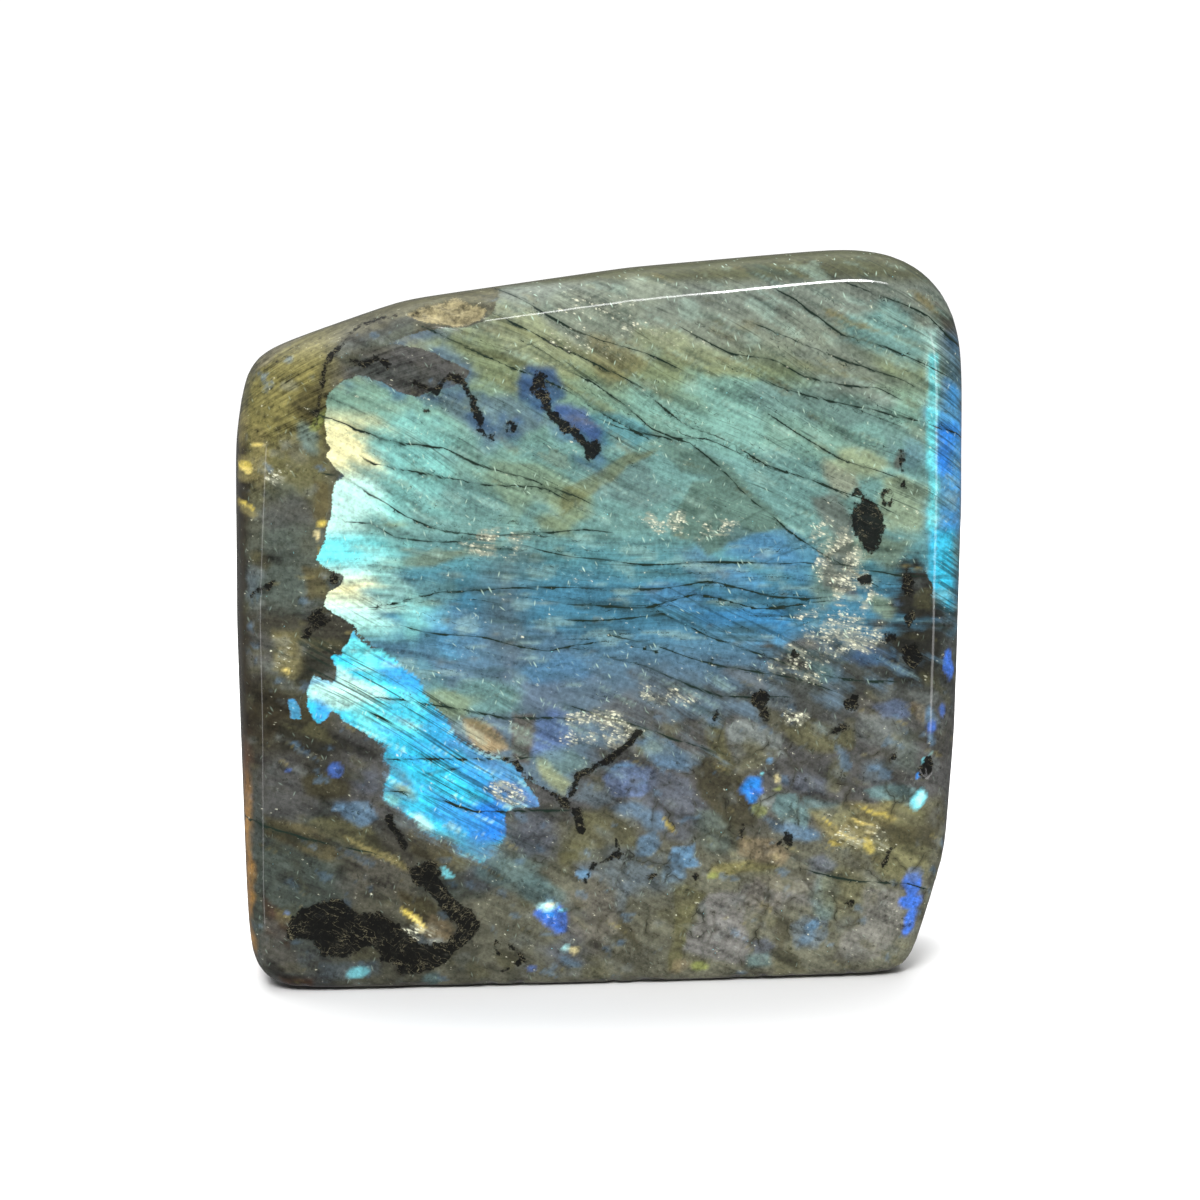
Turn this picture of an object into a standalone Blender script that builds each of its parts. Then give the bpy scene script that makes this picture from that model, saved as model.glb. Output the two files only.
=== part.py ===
"""A polished labradorite freeform that stands on a flat sawn base.

The stone is one solid: a slab with a nearly flat front face, a wall that runs round its girdle, and a
domed back. Three closed outlines carry it, each a polygon with round corners: the edge of the front face,
the girdle and the edge of the back face. Round shoulders join them. The front faces -Y, +Z is up, and the
base is at z = 0.
"""

import math
from typing import NamedTuple

import bmesh
import bpy
from mathutils import Matrix, Vector

MM = 0.001
# A point lower than this is on the sawn base, in metres.
ON_BASE = 0.02 * MM

# Depth of the slab at its base, front to back, and how far its two faces lean in towards each other.
BASE_DEPTH = 44.0
FRONT_LEAN = math.radians(2.4)
BACK_LEAN = math.radians(4.0)
# How far the middle of each face stands proud, and the half width and height that its crown spreads over.
FRONT_CROWN = 1.2
BACK_CROWN = 4.5
CROWN_HALF_WIDTH = 63.0
CROWN_HALF_HEIGHT = 64.0
# The height of the stone's middle, which the crowns and the bulge of the wall are centred on.
MIDDLE_HEIGHT = 60.0
# How far the wall bulges between the two shoulders. The bulge fades out towards the base below its foot.
WALL_BULGE = 0.5
BULGE_FOOT = 12.0

# Two sides that turn by less than this, in radians, have no arc between them. An arc takes at most this
# share of each side beside it.
NO_TURN = 1e-4
ARC_SHARE = 0.48
CORNER_STEPS = 5
SIDE_STEP = 7.0
FRONT_SHOULDER_STEPS = 7
WALL_STEPS = 3
BACK_SHOULDER_STEPS = 8
FACE_RINGS = 8
# Passes of smoothing over the whole stone off its base, as on a polishing wheel.
BODY_POLISH = 4

STONE_COLOUR = (0.10, 0.13, 0.12, 1.0)
POLISH_ROUGHNESS = 0.12


class Corner(NamedTuple):
    """A corner of the girdle, in millimetres: across from the middle, above the base, and its radius."""

    x: float
    z: float
    radius: float


class FaceCorner(NamedTuple):
    """A corner of a face's edge. The shoulder outside it reaches back by depth. It is a quarter round at a
    fullness of 2 and a flat chamfer at 1."""

    x: float
    z: float
    radius: float
    depth: float
    fullness: float


# All three outlines go round the same twelve corners, clockwise from the foot on the left.
GIRDLE = (
    Corner(-59.8, 0.0, 7.0),
    Corner(-61.2, 60.0, 160.0),
    Corner(-61.0, 90.0, 50.0),
    Corner(-59.2, 104.3, 9.0),
    Corner(-33.0, 113.4, 40.0),
    Corner(5.0, 118.9, 120.0),
    Corner(61.0, 124.0, 16.0),
    Corner(60.8, 78.0, 160.0),
    Corner(59.8, 42.0, 90.0),
    Corner(58.2, 20.5, 30.0),
    Corner(51.6, 0.0, 6.0),
    Corner(0.0, 0.0, 20.0),
)
FRONT_EDGE = (
    FaceCorner(-52.4, 2.0, 4.0, 5.0, 2.0),
    FaceCorner(-52.8, 60.0, 120.0, 7.0, 2.0),
    FaceCorner(-51.8, 88.0, 20.0, 8.0, 1.8),
    FaceCorner(-43.8, 105.6, 12.0, 11.0, 1.5),
    FaceCorner(-31.0, 108.8, 14.0, 8.0, 1.6),
    FaceCorner(4.0, 111.6, 90.0, 6.5, 2.0),
    FaceCorner(53.4, 116.4, 11.0, 6.5, 2.0),
    FaceCorner(53.6, 78.0, 120.0, 6.0, 2.0),
    FaceCorner(52.8, 42.0, 80.0, 6.0, 2.0),
    FaceCorner(51.2, 20.5, 24.0, 6.0, 2.0),
    FaceCorner(45.8, 2.0, 5.0, 5.0, 2.0),
    FaceCorner(0.0, 2.0, 20.0, 3.4, 2.0),
)
BACK_EDGE = (
    FaceCorner(-46.0, 3.0, 6.0, 10.0, 2.0),
    FaceCorner(-48.5, 58.0, 100.0, 12.0, 2.0),
    FaceCorner(-46.5, 84.0, 30.0, 12.0, 2.0),
    FaceCorner(-40.0, 98.0, 14.0, 13.0, 1.8),
    FaceCorner(-24.0, 102.5, 30.0, 12.0, 2.0),
    FaceCorner(4.0, 106.0, 90.0, 11.0, 2.0),
    FaceCorner(46.0, 110.5, 18.0, 11.0, 2.0),
    FaceCorner(47.5, 74.0, 100.0, 11.0, 2.0),
    FaceCorner(47.0, 42.0, 80.0, 11.0, 2.0),
    FaceCorner(45.0, 21.0, 26.0, 10.0, 2.0),
    FaceCorner(38.0, 3.0, 8.0, 9.0, 2.0),
    FaceCorner(0.0, 3.0, 20.0, 4.0, 2.0),
)


def corner_arc(before, corner, after, radius):
    """Points along the round corner between two sides, which takes less than half of either side."""
    into = (corner - before).normalized()
    out_of = (after - corner).normalized()
    turn = into.angle(out_of)
    if turn < NO_TURN:
        return [corner.copy() for _ in range(CORNER_STEPS + 1)]
    longest = ARC_SHARE * min((corner - before).length, (after - corner).length)
    tangent = min(radius * math.tan(turn / 2), longest)
    radius = tangent / math.tan(turn / 2)
    along = (into + out_of).normalized()
    to_centre = (out_of - into).normalized()
    centre = corner + to_centre * (radius / math.cos(turn / 2))
    points = []
    for step in range(CORNER_STEPS + 1):
        swing = turn * (step / CORNER_STEPS - 0.5)
        offset = along * math.sin(swing) - to_centre * math.cos(swing)
        points.append(centre + offset * radius)
    return points


def side_counts(corners):
    """How many pieces each side is cut into. The three outlines share these, so that their points match."""
    counts = []
    for corner, following in zip(corners, corners[1:] + corners[:1]):
        length = math.hypot(following.x - corner.x, following.z - corner.z)
        counts.append(max(1, round(length / SIDE_STEP) - 1))
    return counts


def outline(corners, counts):
    """The points of a polygon with round corners, each with the corners it lies between and its share."""
    places = [Vector((corner.x, corner.z)) for corner in corners]
    number = len(corners)
    arcs = [
        corner_arc(places[i - 1], places[i], places[(i + 1) % number], corners[i].radius)
        for i in range(number)
    ]
    points = []
    for i, arc in enumerate(arcs):
        following = (i + 1) % number
        for point in arc:
            points.append((point, i, following, 0.0))
        start = arc[-1]
        end = arcs[following][0]
        for step in range(1, counts[i]):
            share = step / counts[i]
            points.append((start.lerp(end, share), i, following, share))
    return points


def shoulder_value(corners, point, name):
    """A shoulder's depth or fullness at a point, eased from one corner's value to the next."""
    _, first, second, share = point
    eased = share * share * (3 - 2 * share)
    start = getattr(corners[first], name)
    return start + (getattr(corners[second], name) - start) * eased


def crown_share(x, z):
    """How much of a face's crown stands at a place, from 1 in the middle to nearly 0 at the girdle."""
    across = x / CROWN_HALF_WIDTH
    upward = (z - MIDDLE_HEIGHT) / CROWN_HALF_HEIGHT
    return (1 - across * across) * (1 - upward * upward)


def front_face(x, z):
    """Y of the front face, which leans back and is nearly flat."""
    return -BASE_DEPTH / 2 + z * math.tan(FRONT_LEAN) - FRONT_CROWN * crown_share(x, z)


def back_face(x, z):
    """Y of the back face, which leans forward and is domed."""
    return BASE_DEPTH / 2 - z * math.tan(BACK_LEAN) + BACK_CROWN * crown_share(x, z)


def shoulder_point(girdle, edge, depth, fullness, swing, face, side):
    """A point of a shoulder. Its swing is 0 at the wall and a quarter turn at the face's edge."""
    reach = math.cos(swing) ** (2 / fullness)
    rise = math.sin(swing) ** (2 / fullness)
    place = edge.lerp(girdle, reach)
    return Vector((place.x, face(place.x, place.y) + side * depth * (1 - rise), place.y))


def shoulder_rings(girdle, corners, edge, face, side, steps):
    """Rings of a shoulder from its face's edge to the wall. Side is 1 in front and -1 at the back."""
    rings = []
    for step in range(steps + 1):
        swing = math.pi / 2 * (1 - step / steps)
        ring = []
        for outer, inner in zip(girdle, edge):
            depth = shoulder_value(corners, inner, "depth")
            fullness = shoulder_value(corners, inner, "fullness")
            ring.append(shoulder_point(outer[0], inner[0], depth, fullness, swing, face, side))
        rings.append(ring)
    return rings


def wall_rings(front_ring, back_ring):
    """Rings across the wall, between the shoulders. It bulges a little, except on the flat base."""
    rings = []
    for step in range(1, WALL_STEPS):
        share = step / WALL_STEPS
        ring = []
        for start, end in zip(front_ring, back_ring):
            point = start.lerp(end, share)
            outward = Vector((point.x, 0.0, point.z - MIDDLE_HEIGHT)).normalized()
            off_base = min(1.0, point.z / BULGE_FOOT)
            ring.append(point + outward * (WALL_BULGE * math.sin(math.pi * share) * off_base))
        rings.append(ring)
    return rings


def on_face(point, face):
    """A point moved along Y onto a face."""
    return Vector((point.x, face(point.x, point.z), point.z))


def face_rings(edge_ring, face):
    """Rings that close a face from its edge inwards, and the point at its middle."""
    middle = sum(edge_ring, Vector()) / len(edge_ring)
    rings = []
    for step in range(1, FACE_RINGS):
        share = step / FACE_RINGS
        rings.append([on_face(point.lerp(middle, share), face) for point in edge_ring])
    return rings, on_face(middle, face)


def add_ring(mesh, points):
    """A closed loop of edges through the points. Returns its edges."""
    verts = [mesh.verts.new(point * MM) for point in points]
    return [mesh.edges.new((a, b)) for a, b in zip(verts, verts[1:] + verts[:1])]


def close_middle(mesh, edges, tip):
    """Closes a face's innermost ring with a fan round its middle point."""
    filled = bmesh.ops.contextual_create(mesh, geom=edges)["faces"]
    poked = bmesh.ops.poke(mesh, faces=filled)
    poked["verts"][0].co = tip * MM


def polish(mesh):
    """Rounds off the creases between the loft's corners. The flat base keeps its place."""
    off_base = [vert for vert in mesh.verts if vert.co.z > ON_BASE]
    for _ in range(BODY_POLISH):
        bmesh.ops.smooth_vert(
            mesh, verts=off_base, factor=0.5, use_axis_x=True, use_axis_y=True, use_axis_z=True
        )


def stone_mesh():
    """The whole stone, lofted ring by ring from the middle of the front face to the middle of the back."""
    counts = side_counts(GIRDLE)
    girdle = outline(GIRDLE, counts)
    front_edge = outline(FRONT_EDGE, counts)
    back_edge = outline(BACK_EDGE, counts)
    front = shoulder_rings(girdle, FRONT_EDGE, front_edge, front_face, 1, FRONT_SHOULDER_STEPS)
    back = shoulder_rings(girdle, BACK_EDGE, back_edge, back_face, -1, BACK_SHOULDER_STEPS)
    front_rings, front_tip = face_rings(front[0], front_face)
    back_rings, back_tip = face_rings(back[0], back_face)
    rings = front_rings[::-1] + front + wall_rings(front[-1], back[-1]) + back[::-1] + back_rings

    mesh = bmesh.new()
    loops = [add_ring(mesh, ring) for ring in rings]
    for loop, following in zip(loops, loops[1:]):
        bmesh.ops.bridge_loops(mesh, edges=loop + following)
    close_middle(mesh, loops[0], front_tip)
    close_middle(mesh, loops[-1], back_tip)
    polish(mesh)
    bmesh.ops.recalc_face_normals(mesh, faces=mesh.faces)
    return mesh


def centre_on_base(mesh):
    """Moves the stone so that the middle of its box is over the origin and its base is at z = 0."""
    lowest = Vector([min(vert.co[axis] for vert in mesh.verts) for axis in range(3)])
    highest = Vector([max(vert.co[axis] for vert in mesh.verts) for axis in range(3)])
    middle = (lowest + highest) / 2
    offset = Vector((-middle.x, -middle.y, -lowest.z))
    bmesh.ops.transform(mesh, matrix=Matrix.Translation(offset), verts=mesh.verts)


def stone_material():
    """Dark grey-green feldspar with a lapidary polish."""
    material = bpy.data.materials.new("polished_labradorite")
    material.use_nodes = True
    shader = material.node_tree.nodes["Principled BSDF"]
    shader.inputs["Base Color"].default_value = STONE_COLOUR
    shader.inputs["Roughness"].default_value = POLISH_ROUGHNESS
    shader.inputs["Metallic"].default_value = 0.0
    shader.inputs["IOR"].default_value = 1.56
    return material


def main():
    for obj in list(bpy.data.objects):
        bpy.data.objects.remove(obj)
    collection = bpy.data.collections.new("labradorite_freeform")
    bpy.context.scene.collection.children.link(collection)

    mesh = stone_mesh()
    centre_on_base(mesh)
    data = bpy.data.meshes.new("freeform_stone")
    mesh.to_mesh(data)
    mesh.free()
    data.materials.append(stone_material())
    data.shade_smooth()
    data.set_sharp_from_angle(angle=math.radians(40))
    stone = bpy.data.objects.new("freeform_stone", data)
    collection.objects.link(stone)


main()
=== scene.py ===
import math

import bmesh
import bpy
import numpy as np
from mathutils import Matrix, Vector, noise
from mathutils.bvhtree import BVHTree


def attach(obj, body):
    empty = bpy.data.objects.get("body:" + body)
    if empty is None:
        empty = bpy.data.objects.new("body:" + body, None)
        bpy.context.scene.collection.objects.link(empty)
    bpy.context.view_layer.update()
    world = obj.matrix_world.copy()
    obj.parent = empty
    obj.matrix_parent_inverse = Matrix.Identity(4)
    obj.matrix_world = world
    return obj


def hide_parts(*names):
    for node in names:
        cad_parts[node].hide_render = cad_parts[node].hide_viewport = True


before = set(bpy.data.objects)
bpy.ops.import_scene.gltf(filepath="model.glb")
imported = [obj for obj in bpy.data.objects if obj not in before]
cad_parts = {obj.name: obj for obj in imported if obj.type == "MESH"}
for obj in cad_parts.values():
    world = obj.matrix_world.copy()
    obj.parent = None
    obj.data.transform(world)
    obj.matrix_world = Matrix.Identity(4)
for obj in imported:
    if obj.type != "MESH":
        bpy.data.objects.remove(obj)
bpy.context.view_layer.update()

# The block itself: one piece of labradorite feldspar, sawn flat underneath, ground to shape and polished by
# hand. Its skin is an even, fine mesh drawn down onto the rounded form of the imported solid. The squash along
# the depth makes the faces of the mesh longer on the narrow walls, where there is less to show.
MM = 0.001
WELD = 0.001 * MM
SKIN_STEP = 1.0 * MM
DEPTH_SQUASH = 0.5
ROUNDING_LEVELS = 2
FRONT_FACING = -0.45
EVENING_PASSES = 2
EVENING = 0.5
FLAT_WITHIN = math.radians(25.0)
SQUARE_WITHIN = math.radians(60.0)

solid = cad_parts["freeform_stone"]
form = bmesh.new()
form.from_mesh(solid.data)
bmesh.ops.remove_doubles(form, verts=form.verts, dist=WELD)
bmesh.ops.join_triangles(
    form,
    faces=form.faces,
    angle_face_threshold=FLAT_WITHIN,
    angle_shape_threshold=SQUARE_WITHIN,
)
form_mesh = bpy.data.meshes.new("rounded_form")
form.to_mesh(form_mesh)
form.free()
form_object = bpy.data.objects.new("rounded_form", form_mesh)
bpy.context.scene.collection.objects.link(form_object)
rounding = form_object.modifiers.new("rounding", "SUBSURF")
rounding.levels = ROUNDING_LEVELS
rounding.render_levels = ROUNDING_LEVELS


def shaped_mesh(piece):
    """The mesh of a piece with its modifiers applied."""
    bpy.context.view_layer.update()
    evaluated = piece.evaluated_get(bpy.context.evaluated_depsgraph_get())
    return bpy.data.meshes.new_from_object(evaluated)


rounded = bmesh.new()
rounded.from_mesh(shaped_mesh(form_object))
rounded_tree = BVHTree.FromBMesh(rounded)
bmesh.ops.scale(rounded, vec=(1.0, DEPTH_SQUASH, 1.0), verts=rounded.verts)
squashed_mesh = bpy.data.meshes.new("squashed_form")
rounded.to_mesh(squashed_mesh)
rounded.free()
form_object.modifiers.clear()
form_object.data = squashed_mesh
regrid = form_object.modifiers.new("even_skin", "REMESH")
regrid.mode = "VOXEL"
regrid.voxel_size = SKIN_STEP

skin = bmesh.new()
skin.from_mesh(shaped_mesh(form_object))
bpy.data.objects.remove(form_object)
bmesh.ops.scale(skin, vec=(1.0, 1.0 / DEPTH_SQUASH, 1.0), verts=skin.verts)


def draw_down(mesh):
    """Puts every point of a mesh on the rounded form and evens out what is left of its facets."""
    for vert in mesh.verts:
        vert.co = rounded_tree.find_nearest(vert.co)[0]
    off_base = [vert for vert in mesh.verts if vert.co.z > SKIN_STEP]
    for _ in range(EVENING_PASSES):
        bmesh.ops.smooth_vert(
            mesh, verts=off_base, factor=EVENING, use_axis_x=True, use_axis_y=True, use_axis_z=True
        )
    mesh.normal_update()


# The front, which shows its markings close up, gets faces of half the size.
draw_down(skin)
front_edges = [
    edge for edge in skin.edges if any(face.normal.y < FRONT_FACING for face in edge.link_faces)
]
bmesh.ops.subdivide_edges(skin, edges=front_edges, cuts=1, use_grid_fill=True)
draw_down(skin)
places = np.array([vert.co[:] for vert in skin.verts]) / MM
facings = np.array([vert.normal[:] for vert in skin.verts])

# Where the markings lie. The planes that flash run back into the block and lean a little, so a marking on
# the round edges is found by following that lean forward to the plane of the front face. Across is measured
# to the right of the block's middle and up from its base, in millimetres. Every outline wanders a little.
FACE_DEPTH = -21.0
PLANE_LEAN = 0.105
WANDER = ((5.5, 0.5), (1.7, 0.3))
SLOW_SPAN = 11.0
SLOW_REACH = 0.7

behind_face = places[:, 1] - FACE_DEPTH
across = places[:, 0] - PLANE_LEAN * behind_face
up = places[:, 2] + PLANE_LEAN * behind_face
slow_drift = np.array([noise.noise(Vector(place) / SLOW_SPAN) for place in places])
plain_across = across
plain_up = up + slow_drift * SLOW_REACH
for span, reach in WANDER:
    drift = np.array([noise.noise_vector(Vector(place) / span)[:] for place in places])
    across = across + drift[:, 0] * reach
    up = up + drift[:, 2] * reach
fine_drift = drift[:, 1]


def eased(low, high, value):
    """0 up to low and 1 from high on, with a smooth rise between them. It falls where low is above high."""
    share = np.clip((value - low) / (high - low), 0.0, 1.0)
    return share * share * (3.0 - 2.0 * share)


def mottle(span, stretch=1.0, dip=0.0, seed=0.0):
    """Cloudy noise for each place, as a number of spreads from its mean. Its clouds are span millimetres
    thick and are stretched along planes that dip to the right by so many degrees."""
    cosine = math.cos(math.radians(dip))
    sine = math.sin(math.radians(dip))
    down = (places[:, 0] * cosine - places[:, 2] * sine) / (span * stretch)
    back = places[:, 1] / (span * stretch) + seed
    over = (places[:, 0] * sine + places[:, 2] * cosine + PLANE_LEAN * places[:, 1]) / span
    level = np.array([noise.fractal(Vector(place), 1.0, 2.1, 3) for place in zip(down, back, over)])
    return (level - level.mean()) / level.std()


# How ragged the edge of a cloud is.
RAGGED = 0.28
ragged = mottle(4.5, 1.8, 22.0, 3.0)
# The flashing planes are steep near the top and low down, and shallow between these heights.
STEEP_DIP = 27.0
SHALLOW_DIP = 6.0
STEEP_ABOVE = (72.0, 80.0)
STEEP_BELOW = (56.0, 49.0)
steep_above = eased(*STEEP_ABOVE, up + 0.03 * across + ragged)
steep_below = eased(*STEEP_BELOW, up - 0.1 * across + ragged)
steepness = steep_above + steep_below
# A level face is ground along the planes, so their layers hardly show in it.
LEVEL_FACING = (0.75, 0.97)
LEVEL_SHARE = 0.6
level = eased(*LEVEL_FACING, np.abs(facings[:, 2])) * LEVEL_SHARE


def layered(span, stretch, seed):
    """Noise that is stretched along the flashing planes, steep or shallow as they are at each place."""
    steep = mottle(span, stretch, STEEP_DIP, seed)
    shallow = mottle(span, stretch, SHALLOW_DIP, seed)
    return (shallow + (steep - shallow) * steepness) * (1.0 - level)


def from_middle(centre, half_width, half_height, turn=0.0):
    """How far out in an oval each place is: 0 in the middle and 1 on the outline. Turn is anticlockwise, in
    degrees."""
    cosine = math.cos(math.radians(turn))
    sine = math.sin(math.radians(turn))
    beside = across - centre[0]
    above = up - centre[1]
    along = (beside * cosine + above * sine) / half_width
    athwart = (above * cosine - beside * sine) / half_height
    return np.hypot(along, athwart)


def oval(centre, half_width, half_height, turn=0.0, softness=0.4):
    """1 inside an oval with a ragged edge and 0 well outside it."""
    reach = from_middle(centre, half_width, half_height, turn)
    return eased(1.0 + softness, 1.0 - softness, reach + ragged * RAGGED)


def strongest(ovals, least=0.0, softness=0.6):
    """How strongly the strongest of some ovals shows at each place. The last number of each oval is its
    strength."""
    amount = np.full(len(across), least)
    for *shape, strength in ovals:
        amount = np.maximum(amount, oval(*shape, softness) * strength)
    return amount


def from_path(points):
    """How far each place is from a path of straight pieces, in millimetres."""
    nearest = np.full(len(across), 1e3)
    for (x0, z0), (x1, z1) in zip(points, points[1:]):
        length = math.hypot(x1 - x0, z1 - z0)
        along = ((across - x0) * (x1 - x0) + (up - z0) * (z1 - z0)) / length
        along = np.clip(along / length, 0.0, 1.0)
        gap = np.hypot(across - x0 - along * (x1 - x0), up - z0 - along * (z1 - z0))
        nearest = np.minimum(nearest, gap)
    return nearest


def inside_by(outline):
    """How far each place is inside a closed outline, in millimetres, and below zero outside it."""
    within = np.zeros(len(across), dtype=bool)
    closed = outline + outline[:1]
    for (x0, z0), (x1, z1) in zip(closed, closed[1:]):
        if z0 == z1:
            continue
        crossing = x0 + (up - z0) * (x1 - x0) / (z1 - z0)
        within ^= ((up > z0) != (up > z1)) & (across < crossing)
    return np.where(within, 1.0, -1.0) * from_path(closed)


def area(outline, blur):
    """1 inside a closed outline and 0 outside it, with a ragged edge blurred over so many millimetres."""
    return eased(-blur, blur, inside_by(outline) + ragged * RAGGED * blur)


def tint(red, green, blue):
    """A colour as it looks on a screen, from 0 to 255, turned into amounts of light."""
    shares = [channel / 255 for channel in (red, green, blue)]
    light = [c / 12.92 if c <= 0.04045 else ((c + 0.055) / 1.055) ** 2.4 for c in shares]
    return np.array(light)


# The dull rock: dark feldspar with olive, brown and grey clouds, seen wherever no plane flashes at the eye.
# It shows along the left margin, over the lower half and on the back.
ROCK_TINTS = {
    "soot": tint(34, 34, 28),
    "black_brown": tint(46, 40, 28),
    "brown": tint(72, 52, 38),
    "rust_brown": tint(92, 62, 40),
    "umber_grey": tint(64, 62, 52),
    "dark_olive": tint(66, 62, 42),
    "olive_brown": tint(92, 84, 54),
    "olive": tint(104, 102, 68),
    "moss_olive": tint(124, 118, 70),
    "leaf": tint(146, 156, 84),
    "brass": tint(140, 131, 84),
    "gold": tint(206, 186, 88),
    "bright_gold": tint(244, 222, 130),
    "tan": tint(148, 132, 102),
    "moss_grey": tint(84, 86, 72),
    "green_grey": tint(86, 96, 88),
    "grey_olive": tint(102, 102, 86),
    "warm_grey": tint(116, 112, 102),
    "rose_grey": tint(126, 125, 122),
    "honey": tint(176, 130, 62),
    "milk": tint(128, 136, 132),
    "smoke": tint(70, 74, 70),
    "lead": tint(84, 84, 82),
    "slate": tint(98, 112, 120),
    "violet_grey": tint(92, 98, 108),
    "periwinkle": tint(102, 122, 158),
    "slate_blue": tint(96, 128, 154),
    "sea_grey": tint(104, 134, 134),
    "clear_blue": tint(104, 150, 186),
    "mid_blue": tint(66, 110, 196),
    "deep_blue": tint(66, 126, 236),
    "bright_blue": tint(40, 134, 222),
    "cyan": tint(128, 224, 236),
    "pale_cyan": tint(186, 244, 244),
    "cream": tint(236, 222, 164),
}
# Colour of the left margin from the base of the block to its top, and of the rest below the flashing sheet.
MARGIN_BANDS = (
    (0, "lead"), (12, "green_grey"), (22, "green_grey"), (32, "smoke"), (40, "umber_grey"),
    (46, "dark_olive"), (54, "moss_grey"), (62, "umber_grey"), (66, "green_grey"), (78, "moss_grey"),
    (86, "olive"), (94, "moss_olive"), (103, "moss_olive"), (114, "grey_olive"),
)
LOWER_BANDS = (
    (0, "grey_olive"), (10, "grey_olive"), (22, "grey_olive"), (30, "lead"), (40, "lead"), (50, "smoke"),
    (100, "lead"), (120, "olive"),
)
# Clouds are ovals: colour, middle, half the width and height, turn and how strongly they show.
ROCK_CLOUDS = (
    ("green_grey", (-50, 19), 8, 5, -10, 1.0),
    ("warm_grey", (-39, 19), 6, 5, -20, 0.5),
    ("green_grey", (-25, 17), 5, 4, 0, 0.8),
    ("violet_grey", (-21.5, 18.6), 3, 2.4, -20, 0.7),
    ("grey_olive", (-15, 10), 9, 6, 0, 0.7),
    ("sea_grey", (-16, 20), 8, 3, -35, 0.7),
    ("sea_grey", (-11, 16.5), 5, 2, -30, 0.6),
    ("violet_grey", (-12, 26), 4, 4, 0, 0.8),
    ("violet_grey", (-8, 6), 4, 4, -30, 0.7),
    ("olive", (0, 24), 6, 5, 0, 0.7),
    ("warm_grey", (-2, 13), 5, 6, 0, 0.7),
    ("violet_grey", (11, 29), 4, 4, 0, 0.7),
    ("slate", (5, 19), 7, 4, -10, 0.8),
    ("slate", (2.2, 14.5), 1.2, 3, 0, 0.6),
    ("grey_olive", (7, 10), 5, 5, 0, 0.6),
    ("dark_olive", (3.2, 8.8), 0.9, 3, 30, 0.7),
    ("green_grey", (18, 25.5), 3, 3, 0, 0.9),
    ("rose_grey", (29, 14.5), 6, 3.6, 0, 0.7),
    ("sea_grey", (36, 13), 2, 4, 0, 0.5),
    ("olive", (40, 15), 4, 4, 0, 0.6),
    ("olive", (50, 23), 6, 5, 0, 0.8),
    ("lead", (52, 38), 4, 5, 0, 0.8),
    ("green_grey", (49, 38), 3, 4, 0, 0.7),
    ("slate", (44.5, 35), 4, 1.8, 0, 0.7),
    ("slate_blue", (44.5, 35.6), 1.6, 0.6, 0, 0.6),
    ("smoke", (39.5, 36), 3.5, 2.6, 20, 0.7),
    ("rose_grey", (46.5, 38.4), 2, 1.2, 0, 0.6),
    ("smoke", (36, 47.5), 3.4, 2.2, 0, 0.7),
    ("slate", (28, 48), 4, 2, -10, 0.7),
    ("warm_grey", (43.5, 46), 2.6, 3, 0, 0.4),
    ("lead", (-31, 102.6), 8, 3, -14, 0.9),
    ("smoke", (-34, 101.4), 7, 1.6, -8, 0.6),
    ("smoke", (-41, 103.6), 4, 1.6, -20, 0.8),
    ("green_grey", (-37, 107.6), 5, 1.6, 22, 0.6),
    ("smoke", (-38, 108.6), 7, 1.0, 22, 0.7),
    ("warm_grey", (-57, 106), 7, 1.6, 36, 0.5),
    ("green_grey", (-52.5, 72), 3.4, 9, 0, 0.8),
    ("slate", (-59, 68), 2, 3.4, 0, 0.6),
    ("lead", (-52, 79), 4, 2.4, 0, 0.6),
    ("lead", (-57.5, 56), 2.2, 3.4, 0, 0.7),
    ("grey_olive", (-51, 88), 3, 3, 0, 0.7),
    ("sea_grey", (-49, 90.5), 1.2, 3, 25, 0.6),
    ("black_brown", (-57, 45.5), 3.4, 6, 0, 0.8),
    ("violet_grey", (-39.5, 34.4), 1.8, 2.4, 0, 0.7),
    ("umber_grey", (-9, 29.5), 3, 2, -30, 0.7),
    ("sea_grey", (-29.5, 1.8), 1.6, 1.2, 0, 0.8),
)
# Where the rock is darker or lighter as a whole: middle, half width, half height, turn and by how much.
ROCK_SHADES = (
    ((-44, 12), 26, 18, 0, -0.42),
    ((-46, 34), 14, 12, 0, -0.12),
    ((-18, 10), 14, 12, 0, -0.10),
    ((-58, 30), 6, 16, 0, -0.12),
    ((51, 60), 5, 12, 0, -0.2),
    ((-54, 58), 8, 12, 0, -0.10),
    ((-50, 8), 14, 8, 0, -0.12),
    ((34, 10), 28, 14, 0, 0.24),
)
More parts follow.
